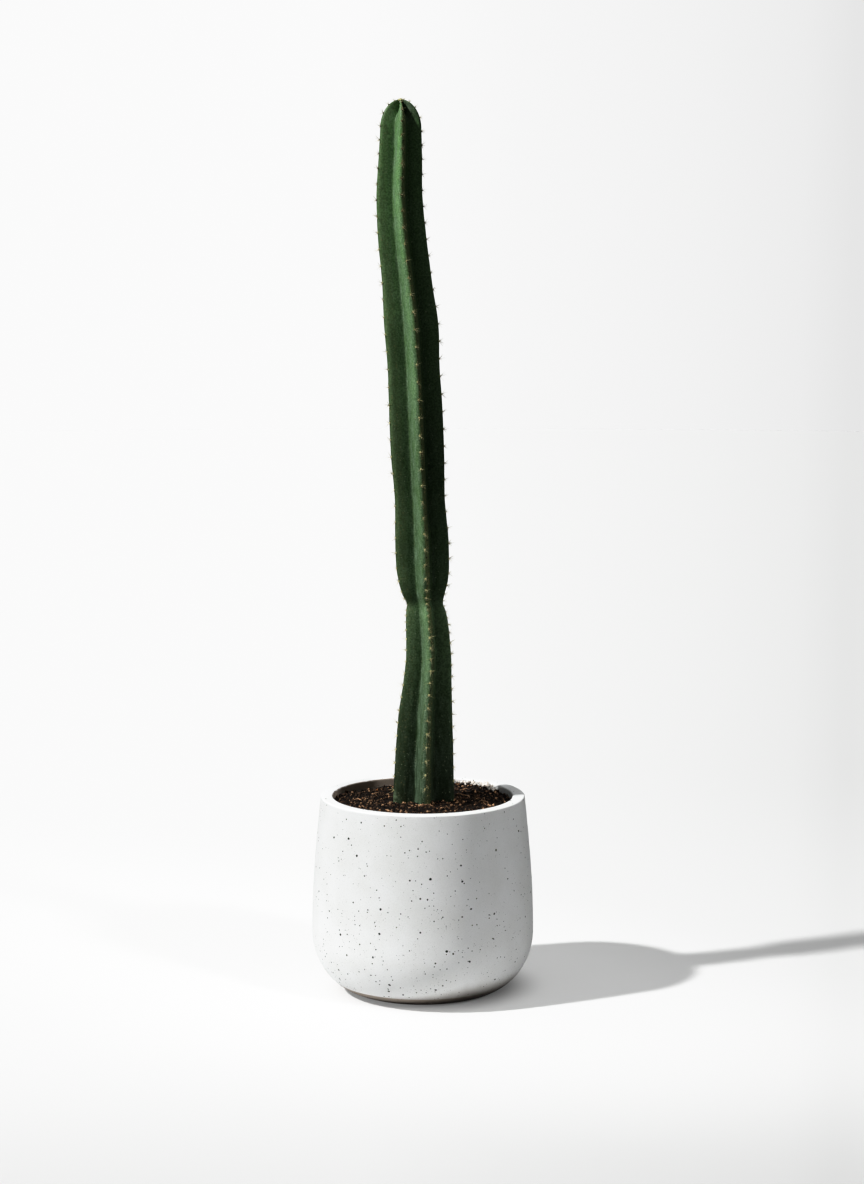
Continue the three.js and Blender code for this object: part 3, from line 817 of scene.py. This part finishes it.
def stem_rings():
    """Sections from the foot's middle, up the stem, to the middle of its tip."""
    count = round((DOME_BASE - STEM_COLLAR) / RING_STEP)
    stations = [STEM_COLLAR + (DOME_BASE - STEM_COLLAR) * i / count for i in range(count)]
    dome = DOME_CREST_LENGTH * DOME_LAST_SHARE
    stations += [DOME_BASE + dome * i / DOME_RINGS for i in range(DOME_RINGS + 1)]
    rings = [stem_section(station) for station in stations]
    foot = dict(rings[0], crest_height=STEM_FOOT, valley_height=STEM_FOOT)
    tip_height = (rings[-1]["crest_height"] + rings[-1]["valley_height"]) / 2
    tip = dict(rings[-1], crest=0.0, valley=0.0, crest_height=tip_height, valley_height=tip_height)
    return [dict(foot, crest=0.0, valley=0.0), foot, *rings, tip]


def rib_depth(share, half):
    """Depth of a rib's outline part of the way to the furrow, from 1 on its crest to 0."""
    flank = math.sin(half + FLANK_ANGLE)
    crest_radius = (VALLEY_SHARE * flank - math.sin(FLANK_ANGLE)) / (1 - math.sin(FLANK_ANGLE))
    middle = 1 - crest_radius

    def reach(angle):
        top = crest_radius * math.sin(FLANK_ANGLE) + middle
        if angle < math.atan2(crest_radius * math.cos(FLANK_ANGLE), top):
            inside = crest_radius ** 2 - (middle * math.sin(angle)) ** 2
            return middle * math.cos(angle) + math.sqrt(inside)
        return VALLEY_SHARE * flank / math.sin(angle + FLANK_ANGLE)

    def depth(at):
        return (reach(half * at) - VALLEY_SHARE) / (1 - VALLEY_SHARE)

    if share <= VALLEY_ROUNDING:
        return depth(share)
    slope = (depth(VALLEY_ROUNDING + 0.001) - depth(VALLEY_ROUNDING)) / 0.001
    past = share - VALLEY_ROUNDING
    return depth(VALLEY_ROUNDING) + slope * past * (1 - past / (2 * (1 - VALLEY_ROUNDING)))


def painted_flank_tones(flank, beyond, share):
    """Painted light and shade as a skin tone and a tip tone, part of the way to the furrow, blended over the
    crest.
    """
    blend = 0.5 * max(1 - share / CREST_BLEND, 0)
    near = flank[1] + (flank[0] - flank[1]) * share
    return near + (beyond[1] - near) * blend, flank[2] + (beyond[2] - flank[2]) * blend


def stem_outline():
    """Points round the section: azimuth, depth, place across the rib, scarring, and the painted light and
    shade as a tone and a tip tone.
    """
    points = []
    shares = [(i / RIB_POINTS) ** CREST_CROWDING for i in range(RIB_POINTS + 1)]
    for rib, azimuth in enumerate(RIB_AZIMUTHS):
        ahead = (rib + 1) % len(RIB_AZIMUTHS)
        following = (RIB_AZIMUTHS + [RIB_AZIMUTHS[0] + 360])[rib + 1]
        half = (following - azimuth) / 2
        for crest, own, way, places in ((azimuth, rib, 1, shares), (following, ahead, -1, shares[-2:0:-1])):
            for share in places:
                angle = math.radians(crest + way * half * share)
                depth = rib_depth(share, math.radians(half))
                tones = painted_flank_tones(*PAINTED_FLANK_TONES[own][::-way], share)
                points.append((angle, depth, way * share, BAND_SHARES[own], *tones))
    return points


def ribbed_tree():
    """Carries the ribbed outline up the stem. Rings and outline points bring their own values."""
    tree, given = shape_tree("ribbed_stem", Object=["Outline"], Float=["Wrinkles"])
    outline = given["Outline"].into("GeometryNodeObjectInfo")["Geometry"]
    loop = outline.into("GeometryNodeMeshToCurve")
    path = given["Geometry"].into("GeometryNodeMeshToCurve")
    skin = path.into("GeometryNodeCurveToMesh", {"Profile Curve": loop})

    def blend(low, high):
        low = carried(tree, low)
        return (carried(tree, high) - low).times(carried(tree, "depth"), plus=low)

    reach = blend("valley", "crest")
    angle = carried(tree, "azimuth") + carried(tree, "turn")
    centre_x, centre_y = carried(tree, "centre_x"), carried(tree, "centre_y")
    across, front = reach * maths("SINE", angle), reach * maths("COSINE", angle)
    height = blend("valley_height", "crest_height")
    spot = {"X": centre_x + across, "Y": centre_y - front, "Z": height}
    point = place(tree, "ShaderNodeCombineXYZ", spot)
    ribbed = skin.into("GeometryNodeSetPosition", {"Position": point})
    closed = ribbed.into("GeometryNodeMergeByDistance", {"Distance": SAME_POINT})
    return finish_shape(rippled(closed, SKIN_SWELLINGS, given["Wrinkles"]), given)


SKIN_HEIGHTS = [
    # height, colour from the old base to the young tip
    (0.200, (0.041, 0.063, 0.033)), (0.240, (0.066, 0.103, 0.053)), (0.300, (0.116, 0.178, 0.093)),
    (0.340, (0.180, 0.274, 0.144)), (0.370, (0.194, 0.295, 0.154)), (0.388, (0.240, 0.367, 0.191)),
    (0.404, (0.158, 0.248, 0.125)), (0.430, (0.150, 0.240, 0.118)), (0.560, (0.165, 0.262, 0.130)),
    (0.620, (0.215, 0.345, 0.170)), (0.700, (0.225, 0.365, 0.176)), (0.790, (0.255, 0.430, 0.198)),
    (0.890, (0.255, 0.450, 0.195)),
]
SKIN_SHADE = (0.52, 0.60, 0.50)
# Painted shade darkens the skin towards the bottom of each furrow.
SKIN_FURROW_SHADE = (0.50, 0.54, 0.48)
FURROW_SHADE_DEPTHS = (0.8, -0.05)
SKIN_GRAIN = (0.48, 0.54, 0.46)
SKIN_BLOOM = (0.250, 0.335, 0.245)
SKIN_PORE = (0.42, 0.52, 0.40)
SKIN_PALE = (0.36, 0.40, 0.28)
SKIN_CORK = (0.26, 0.34, 0.22)
# Above these heights the tip tones take over, as painted shade on the dome.
TIP_SHADE_HEIGHTS = (0.857, 0.880)
STREAKED = (1.0, 1.0, 0.22)
# The scar band's olive is scar colour lightened by painted light, since the band lies on the crests' shaded
# side. Low on the stem it turns darker as painted shade.
BAND_OLIVE_SCAR_AND_LIGHT = (0.205, 0.245, 0.110)
BAND_LOW_SHADE = (0.095, 0.118, 0.056)
BAND_DARK = (0.030, 0.028, 0.015)
BAND_TAN = (0.55, 0.45, 0.24)
BAND_STARTS, BAND_ENDS = (-0.04, 0.08), (0.58, 0.36)
LOW_BAND_SHADE_HEIGHTS = (0.41, 0.35)
TAN_TONES = (0.5, 0.6)
CORK_PLACE = (-0.0305, -0.0190, 0.2000)
CORK_REACH = (0.011, 0.004)


def stem_material():
    material, at = finish_of("waxy_cactus_skin")
    names = ("depth", "side", "scars", "tone", "tip_shade_tone")
    depth, side, scars, flank, tip_shade = (mesh_value(at, name) for name in names)
    height = at.into("ShaderNodeSeparateXYZ")["Z"]
    low, high = SKIN_HEIGHTS[0][0], SKIN_HEIGHTS[-1][0]
    stops = [((level - low) / (high - low), tone) for level, tone in SKIN_HEIGHTS]
    # Painted light and shade from the outline's tones: lit flanks are lighter with more bloom, and shaded
    # flanks and tips darker.
    painted_lightness = maths("MAXIMUM", flank - 1.0, 0.0)
    painted_tip_shade = (tip_shade - 1.0).times(step(height, *TIP_SHADE_HEIGHTS), plus=1.0)
    streaks = vector_maths("MULTIPLY", at, STREAKED)
    clouds = effect(MOTTLE, streaks, Size=0.008, Detail=4.0, Cover=0.45, Softness=0.22)
    wax = effect(MOTTLE, streaks, Size=0.0030, Detail=5.0, Cover=0.45, Softness=0.25)
    grain = effect(MOTTLE, at, Size=0.0016, Softness=0.12)
    pores = effect(SPECKS, at, Spacing=0.0027, Radius=0.00055, Share=0.75, Raggedness=0.5)
    flecks = effect(SPECKS, at, Spacing=0.0034, Radius=0.00060, Share=0.55, Raggedness=0.6)

    weathered = effect(MOTTLE, at, Size=0.0016, Detail=4.0, Cover=0.62, Softness=0.22)
    band = product(step(side, *BAND_STARTS), step(side, *BAND_ENDS), scars, weathered.times(0.7, plus=0.3))
    dots = effect(SPECKS, at, Spacing=0.0021, Radius=0.00085, Share=0.85, Raggedness=0.5)
    crust = effect(MOTTLE, at, Size=0.0026, Detail=5.0, Cover=0.6, Softness=0.2)
    corky = step(vector_maths("DISTANCE", at, CORK_PLACE), *CORK_REACH)
    colour = layered(
        ramp((height - low) / (high - low), stops),
        # Painted shade in the furrows.
        (step(depth, *FURROW_SHADE_DEPTHS), SKIN_FURROW_SHADE, "MULTIPLY"),
        (clouds * 0.42, SKIN_SHADE, "MULTIPLY"),
        (wax * painted_lightness.times(2.2, plus=0.26), SKIN_BLOOM),
        (1.0, grey(flank * painted_tip_shade), "MULTIPLY"),
        (grain * 0.85, SKIN_GRAIN, "MULTIPLY"),
        (pores * 0.5, SKIN_PORE, "MULTIPLY"),
        (flecks * 0.5, SKIN_PALE),
        # Scar band: olive scar colour with painted light, and painted shade low down.
        (band * 0.9, mixed(step(height, *LOW_BAND_SHADE_HEIGHTS), BAND_OLIVE_SCAR_AND_LIGHT, BAND_LOW_SHADE)),
        (dots * (band * 0.9), mixed(step(dots["Tone"], *TAN_TONES), BAND_DARK, BAND_TAN)),
        (corky * (crust * 0.55), SKIN_CORK),
    )
    relief = band.times(0.5, plus=noise(streaks, 900.0, 3.0)) - pores * 0.4
    rough = band.times(0.3, plus=wax.times(0.16, plus=0.42))
    return surfaced(material, colour, rough, bump(relief, 0.0003, 0.4), gloss=0.35)


rings = stem_rings()
outline_points = stem_outline()
outline_line = line_mesh(
    "stem_outline",
    [(depth * math.sin(angle), -depth * math.cos(angle), 0.0) for angle, depth, *_ in outline_points],
    closed=True,
    carries=dict(zip(("azimuth", "depth", "side", "scars", "tone", "tip_shade_tone"), zip(*outline_points))),
)
outline = bpy.data.objects.new("stem_outline", outline_line)
ring_line = line_mesh(
    "stem_rings",
    [(0.0, 0.0, STEM_FOOT + RING_STEP * i) for i in range(len(rings))],
    closed=False,
    carries={name: [ring[name] for ring in rings] for name in rings[0]},
)
stem = made_by(
    ribbed_tree(),
    "ribbed_stem",
    ring_line,
    {"Outline": outline, "Wrinkles": SKIN_WRINKLES, "Material": stem_material()},
)
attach(stem, "root")
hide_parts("stem")


# The soil is pressed up against the stem's foot, so crumbs lie on its skin all round and higher at
# the front and the right.

BANK_GRAINS = 420
BANK_REACH = 0.010
BANK_RISE = 0.0022
BANK_HIGH_SIDE = 30
BANK_SEED = 5


def bank_places(chance):
    """Crumbs round the foot, closer and higher against the skin."""
    section = stem_section(STEM_COLLAR)
    places = []
    for _ in range(BANK_GRAINS):
        azimuth, depth, *_ = chance.choice(outline_points)
        away = chance.random() ** 1.6
        angle = azimuth + section["turn"]
        reach = section["valley"] + (section["crest"] - section["valley"]) * depth
        reach += 0.0006 + BANK_REACH * away
        high = 0.6 + 0.4 * math.cos(angle - math.radians(BANK_HIGH_SIDE))
        lift = BANK_RISE * high * (1 - away) * chance.uniform(0.2, 1.0)
        places.append((*on_section(section, reach, angle), lift, chance.uniform(0.7, 1.1)))
    return places


bank = made_by(
    STREWN,
    "soil_bank",
    crumbs_at("soil_bank", bank_places(random.Random(BANK_SEED))),
    strewn_values(GRAIN_SIZE, 0.4, 0.0004, BANK_SEED, SOIL_FINISH),
)
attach(bank, "root")


# Areoles are the cushions of short felt along each crest, and a few thin stiff spines stand in each.
# They grow from the stem, closer together where its growth slowed and towards the tip.

AREOLE_SPACING = [
    # station along the crest, distance to the next areole
    (0.200, 0.0145), (0.300, 0.0125), (0.350, 0.011), (0.383, 0.0055), (0.398, 0.006),
    (0.410, 0.011), (0.428, 0.015), (0.600, 0.0175), (0.700, 0.0165), (0.800, 0.0155),
    (0.862, 0.012), (0.900, 0.005),
]
FIRST_AREOLE = 0.206
LAST_AREOLE = 0.8975
AREOLE_PHASES = [0.1, 0.45, 0.75, 0.3, 0.6]
AREOLE_SIGHT = 0.0005
CROWDED_SPACING = 0.008
TIP_SHARE = 0.6
CUSHION_LENGTH = 0.0022
CUSHION_FACETS = 8
SPINE_LENGTH = 0.0050
SPINE_THICKNESS = 0.00021
SPINE_SIDES = 4
SPINE_BEND = 0.08
SPINE_LIFT = 0.0003
SPINES_EACH = 13
SPINES_KEPT = 0.85
SPINE_SEED = 23
FELT_TAN = (0.76, 0.73, 0.41)
FELT_GREY = (0.54, 0.50, 0.27)
FELT_YOUNG = (0.060, 0.050, 0.022)
YOUNG_HEIGHTS = (0.745, 0.790)
TUFT_HEIGHTS = (0.888, 0.884)
TUFT_ROWS = [
    # shift from the middle of the tip, direction outwards, direction along, share of full size
    ((0.0002, -0.0014, -0.0002), (0.05, -0.9, 0.75), (0.0, 0.75, 0.9), 1.7),
    ((-0.0016, -0.0004, -0.0004), (-0.5, -0.6, 0.8), (0.3, 0.6, 0.6), 1.25),
    ((0.0018, -0.0002, -0.0003), (0.5, -0.6, 0.8), (-0.3, 0.6, 0.6), 1.3),
    ((0.0002, 0.0012, -0.0002), (0.0, 0.3, 1.0), (0.0, 1.0, -0.3), 1.5),
]
SPINE_DARK = (0.56, 0.50, 0.26)
SPINE_TAN = (0.78, 0.74, 0.48)


def between(rows, height):
    """Straight lines through rows of (height, value)."""
    height = min(max(height, rows[0][0]), rows[-1][0])
    i = next(k for k in range(1, len(rows)) if rows[k][0] >= height)
    (start, low), (end, high) = rows[i - 1], rows[i]
    return low + (high - low) * (height - start) / (end - start)


def crest_point(rib, station):
    section = stem_section(station)
    angle = math.radians(RIB_AZIMUTHS[rib]) + section["turn"]
    return Vector((*on_section(section, section["crest"], angle), section["crest_height"]))


def areoles():
    """Place, direction outwards, direction along the rib, and share of full size of each areole."""
    rows = []
    for rib, phase in enumerate(AREOLE_PHASES):
        station = FIRST_AREOLE + phase * between(AREOLE_SPACING, FIRST_AREOLE)
        while station < LAST_AREOLE:
            ahead = crest_point(rib, station + AREOLE_SIGHT) - crest_point(rib, station - AREOLE_SIGHT)
            ahead.normalize()
            angle = math.radians(RIB_AZIMUTHS[rib]) + stem_section(station)["turn"]
            outward = Vector((math.cos(angle), math.sin(angle), 0.0)).cross(ahead).normalized()
            up_dome = max(station - DOME_BASE, 0) / DOME_CREST_LENGTH
            room = between(AREOLE_SPACING, station)
            size = (1 + (TIP_SHARE - 1) * up_dome) * min(room / CROWDED_SPACING, 1)
            rows.append((crest_point(rib, station), outward, ahead, size))
            station += room
    return rows


def tip_tuft():
    """Cushions of wool that close the middle of the tip, where the ribs meet."""
    middle = stem_section(DOME_BASE + DOME_CREST_LENGTH * DOME_LAST_SHARE)
    top = Vector((middle["centre_x"], middle["centre_y"], middle["crest_height"]))
    return [
        (top + Vector(shift), Vector(out).normalized(), Vector(ahead).normalized(), size)
        for shift, out, ahead, size in TUFT_ROWS
    ]


def cushion():
    """A low felt cushion 1 long, a little narrower across, and rounded on top."""
    shape = bmesh.new()
    bmesh.ops.create_uvsphere(shape, u_segments=CUSHION_FACETS, v_segments=4, radius=0.5)
    for vertex in shape.verts:
        vertex.co.x *= 0.78
        vertex.co.z *= 0.62
    return bpy.data.objects.new("felt_cushion", mesh_of(shape, "felt_cushion"))


def spine():
    """A thin spine 1 long that tapers to its point and bends a little."""
    rings = []
    for share in (0.0, 0.45, 0.8):
        thickness = 0.5 * SPINE_THICKNESS / SPINE_LENGTH * (1 - share) ** 0.6
        bend = SPINE_BEND * share ** 2
        turns = [math.tau * i / SPINE_SIDES for i in range(SPINE_SIDES)]
        rings.append([(bend + thickness * math.cos(a), thickness * math.sin(a), share) for a in turns])
    shape = bmesh.new()
    tube(shape, rings, (SPINE_BEND, 0.0, 1.0))
    return bpy.data.objects.new("spine", mesh_of(shape, "spine"))


def stood(points, pattern, values):
    """Stands a copy of a pattern object on each point."""
    instance = pattern.into("GeometryNodeObjectInfo")["Geometry"]
    return points.into("GeometryNodeInstanceOnPoints", {"Instance": instance, **values})


def cushion_tree():
    """Sets a cushion on every areole, turned to its rib."""
    tree, given = shape_tree("felt_cushions", Object=["Cushion"], Float=["Length"])
    outward, ahead = carried(tree, "outward", "FLOAT_VECTOR"), carried(tree, "ahead", "FLOAT_VECTOR")
    facing = place(tree, "FunctionNodeAlignRotationToVector", {"Vector": outward}, axis="Z")
    turned = facing.into("FunctionNodeAlignRotationToVector", {"Vector": ahead}, axis="Y", pivot_axis="Z")
    size = carried(tree, "size") * given["Length"] * random_value(tree, 0.85, 1.15, 2)
    points = given["Geometry"].into("GeometryNodeMeshToPoints")
    return finish_shape(stood(points, given["Cushion"], {"Rotation": turned, "Scale": size}), given)


def spine_tree():
    """Stands spines in every areole: one at its middle, and the others splayed round it."""
    sizes = ["Length", "Length spread", "Kept", "Splay", "Splay spread"]
    tree, given = shape_tree("areole_spines", Object=["Spine"], Float=sizes, Int=["Spines each", "Seed"])
    points = given["Geometry"].into("GeometryNodeMeshToPoints")
    spread = points.into("GeometryNodeDuplicateElements", {"Amount": given["Spines each"]}, domain="POINT")
    count = spread["Duplicate Index"]
    share = count / (given["Spines each"] - 1)
    azimuth = share.times(math.tau, plus=random_value(tree, -0.35, 0.35, given["Seed"]))
    splay = random_value(tree, -1.0, 1.0, 31).times(given["Splay spread"], plus=given["Splay"])
    splay = splay * maths("LESS_THAN", count, 0.5).times(-0.8, plus=1.0)
    outward, ahead = carried(tree, "outward", "FLOAT_VECTOR"), carried(tree, "ahead", "FLOAT_VECTOR")
    across = vector_maths("CROSS_PRODUCT", ahead, outward)
    low = maths("SINE", splay)
    along_rib = vector_maths("SCALE", ahead, Scale=low * maths("COSINE", azimuth))
    over_rib = vector_maths("SCALE", across, Scale=low * maths("SINE", azimuth))
    up = vector_maths("SCALE", outward, Scale=maths("COSINE", splay))
    pointing = vector_maths("ADD", up, vector_maths("ADD", along_rib, over_rib))
    length = random_value(tree, -1.0, 1.0, 37).times(given["Length spread"], plus=1.0) * given["Length"]
    values = {
        "Selection": maths("LESS_THAN", random_value(tree, 0.0, 1.0, 41), given["Kept"]),
        "Rotation": place(tree, "FunctionNodeAlignRotationToVector", {"Vector": pointing}, axis="Z"),
        "Scale": length * carried(tree, "size"),
    }
    return finish_shape(stood(spread, given["Spine"], values), given)


def felt_material():
    material, at = finish_of("areole_felt")
    patches = effect(MOTTLE, at, Size=0.0009, Cover=0.4, Softness=0.2)
    height = at.into("ShaderNodeSeparateXYZ")["Z"]
    young = step(height, *YOUNG_HEIGHTS) * step(height, *TUFT_HEIGHTS)
    colour = mixed(young * 0.9, mixed(patches, FELT_TAN, FELT_GREY), FELT_YOUNG)
    return surfaced(material, colour, 0.95, bump(noise(at, 5200.0, 2.0), 0.0003, 1.0), gloss=0.2)


def spine_material():
    material, at = finish_of("dry_spines")
    patches = effect(MOTTLE, at, Size=0.0016, Detail=2.0, Softness=0.25)
    return surfaced(material, mixed(patches, SPINE_TAN, SPINE_DARK), 0.5)


def areole_points(name, rows, lift):
    """Points, one for each areole, that carry its directions and size."""
    spots, outward, ahead, size = zip(*rows)
    points = [spot + way * lift for spot, way in zip(spots, outward)]
    return line_mesh(name, points, closed=False, carries={"outward": outward, "ahead": ahead, "size": size})


cushions = made_by(
    cushion_tree(),
    "areole_cushions",
    areole_points("areole_cushions", areoles() + tip_tuft(), 0.0),
    {"Cushion": cushion(), "Length": CUSHION_LENGTH, "Material": felt_material()},
)
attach(cushions, "root")

spines = made_by(
    spine_tree(),
    "areole_spines",
    areole_points("areole_spines", areoles(), SPINE_LIFT),
    {
        "Spine": spine(), "Spines each": SPINES_EACH, "Length": SPINE_LENGTH, "Length spread": 0.45,
        "Kept": SPINES_KEPT, "Splay": 0.95, "Splay spread": 0.4, "Seed": SPINE_SEED,
        "Material": spine_material(),
    },
)
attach(spines, "root")


# The studio is a wide pale floor with one key light from the left, high up, a weak fill from above,
# a soft spot low at the right for the pot's shade side, and the light that the floor throws back.

KEY_AZIMUTH = -68.0
KEY_ELEVATION = 45.0
KEY_STRENGTH = 3.5
KEY_SOFTNESS = 3.0
POT_FILL_AZIMUTH = 48
POT_FILL_ELEVATION = 28
POT_FILL_DISTANCE = 1.8
POT_FILL_AIM = 0.060
POT_FILL_CONE = 9.0
POT_FILL_POWER = 218
FLOOR_RADIUS = 9.0
FLOOR_CORNERS = 64
FLOOR_TONE = (0.550, 0.550, 0.547)
FLOOR_GLOW = (0.255, 0.255, 0.253)
LIFTED_BEHIND, LIFTED_BEFORE = (1.2, 0.0), (-0.7, -1.4)
FRONT_SHADE = [
    # axis, where the shade starts and where it is full
    ("Y", -0.16, -0.66), ("Y", -1.5, -0.7), ("X", -1.6, -0.3), ("X", 1.6, 0.3),
]
# Painted contact shadow: the floor's glow fades out near the pot's foot, round a middle set off towards the
# shade side.
CONTACT_SHADOW_PLACE = (0.025, 0.012, 0.0)
CONTACT_SHADOW_REACH = (0.045, 0.105)
BOUNCE_REACH = (0.36, 0.12)
BOUNCE_SHADE_SIDE = (0.0, 0.15)
BACKDROP_TONE = 0.87
BACKDROP_FALL = [
    # angle to the right of the photograph's view, share of the full tone
    (-0.03, 1.0), (0.033, 0.925), (0.065, 0.90), (0.103, 0.868), (0.140, 0.828), (0.160, 0.775),
    (0.26, 0.84), (0.48, 0.95), (0.75, 1.0),
]
BACKDROP_TURN = 0.9
FILL_TINT = (0.98, 0.99, 1.0, 1.0)
TONE_CURVE = [
    # light in, tone out
    (0.01, 0.0034), (0.05, 0.027), (0.10, 0.067), (0.20, 0.165), (0.38, 0.38), (0.60, 0.68),
    (0.70, 0.82), (0.80, 0.92), (0.90, 0.97),
]
CAMERA_PLACE = (0.00938, -2.57735, 0.73123)
CAMERA_PITCH = 7.213
CAMERA_LENS = 79.05

floor_mesh = bpy.data.meshes.new("studio_floor")
floor_turns = [math.tau * i / FLOOR_CORNERS for i in range(FLOOR_CORNERS)]
floor_edge = [(FLOOR_RADIUS * math.cos(a), FLOOR_RADIUS * math.sin(a), 0.0) for a in floor_turns]
floor_mesh.from_pydata(floor_edge, [], [list(range(FLOOR_CORNERS))])
floor = shown("studio_floor", floor_mesh)


def backdrop_fall(right, ahead):
    """The tone of floor and background, a little lower at the right of the photograph."""
    turned = maths("ARCTAN2", right, ahead).times(BACKDROP_TURN, plus=0.1)
    return ramp(turned, [(angle * BACKDROP_TURN + 0.1, (share,) * 3) for angle, share in BACKDROP_FALL])


def seen_or_lit(tree, lit, seen):
    """Shows the camera one shader, and lights the object with another."""
    path = place(tree, "ShaderNodeLightPath")["Is Camera Ray"]
    return place(tree, "ShaderNodeMixShader", {0: path, 1: lit, 2: seen})


def floor_material():
    """The camera sees a pale floor with a painted contact shadow round the pot, and the object gets back
    only the light of the floor near it.
    """
    material, at = finish_of("pale_floor")
    tree = material.node_tree
    axes = at.into("ShaderNodeSeparateXYZ")
    fall = backdrop_fall(axes["X"] - CAMERA_PLACE[0], axes["Y"] - CAMERA_PLACE[1])
    behind, before = step(axes["Y"], *LIFTED_BEHIND), step(axes["Y"], *LIFTED_BEFORE)
    fall = mixed(maths("MAXIMUM", behind * 0.35, before), fall, (1.0, 1.0, 1.0))
    in_front = product(*[step(axes[axis], start, full) for axis, start, full in FRONT_SHADE])
    fall = mixed(1.0, fall, grey(in_front.times(-0.158, plus=1.0)), "MULTIPLY")
    # Painted contact shadow round the pot's foot, where the floor glows less.
    contact_shadow = step(vector_maths("DISTANCE", at, CONTACT_SHADOW_PLACE), *CONTACT_SHADOW_REACH)
    lit = mixed(1.0, fall, FLOOR_TONE, "MULTIPLY").into("ShaderNodeBsdfDiffuse")
    glow = mixed(1.0, fall, FLOOR_GLOW, "MULTIPLY").into("ShaderNodeEmission", {"Strength": contact_shadow})
    seen = lit.into("ShaderNodeAddShader", {1: glow})
    near = step(vector_maths("LENGTH", at), *BOUNCE_REACH)
    near = near * step(axes["X"], *BOUNCE_SHADE_SIDE).times(-0.30, plus=1.0)
    bounce = grey(near.times(0.72, plus=0.06)).into("ShaderNodeBsdfDiffuse")
    feed(tree.nodes["Material Output"], {"Surface": seen_or_lit(tree, bounce, seen)})
    tree.nodes.remove(tree.nodes["Principled BSDF"])
    return material


floor_mesh.materials.append(floor_material())


def towards(azimuth, elevation):
    """Direction from the pot to a light."""
    turn, rise = math.radians(azimuth), math.radians(elevation)
    return Vector((math.sin(turn) * math.cos(rise), -math.cos(turn) * math.cos(rise), math.sin(rise)))


def lamp(name, kind, way, **settings):
    """A light that shines on the pot from a direction."""
    light = bpy.data.lights.new(name, kind)
    for setting, value in settings.items():
        setattr(light, setting, value)
    item = shown(name, light)
    item.rotation_euler = way.to_track_quat("Z", "Y").to_euler()
    return item


key_way = towards(KEY_AZIMUTH, KEY_ELEVATION)
lamp("key", "SUN", key_way, energy=KEY_STRENGTH, angle=math.radians(KEY_SOFTNESS))
fill_way = towards(POT_FILL_AZIMUTH, POT_FILL_ELEVATION)
pot_fill = lamp("pot_fill", "SPOT", fill_way, energy=POT_FILL_POWER, spot_blend=0.5, shadow_soft_size=0.3)
pot_fill.data.spot_size = math.radians(POT_FILL_CONE)
pot_fill.location = Vector((0, 0, POT_FILL_AIM)) + fill_way * POT_FILL_DISTANCE

world = bpy.data.worlds.new("studio")
world.use_nodes = True
bpy.context.scene.world = world
room = world.node_tree
room.nodes.clear()
sides = place(room, "ShaderNodeTexCoord")["Generated"].into("ShaderNodeSeparateXYZ")
fill = step(sides["Z"], 0.1, 1.0).times(0.50, plus=0.004)
fill = step(sides["Y"], -0.2, -1.0).times(0.040, plus=fill)
fill_light = place(room, "ShaderNodeBackground", {"Color": FILL_TINT, "Strength": fill})
backdrop = backdrop_fall(sides["X"], sides["Y"])
wall = backdrop.into("ShaderNodeBackground", {"Strength": BACKDROP_TONE})
seen_or_lit(room, fill_light, wall).into("ShaderNodeOutputWorld")

camera_data = bpy.data.cameras.new("camera")
camera_data.lens = CAMERA_LENS
camera_data.sensor_fit = "AUTO"
camera_data.sensor_width = 36.0
camera = shown("camera", camera_data)
camera.location = CAMERA_PLACE
camera.rotation_euler = (math.radians(90 - CAMERA_PITCH), 0.0, 0.0)
bpy.context.scene.camera = camera

view = bpy.context.scene.view_settings
view.view_transform = "Standard"
view.look = "None"
view.use_curve_mapping = True
tone = view.curve_mapping
for light, shown_tone in TONE_CURVE:
    tone.curves[3].points.new(light, shown_tone)
tone.update()
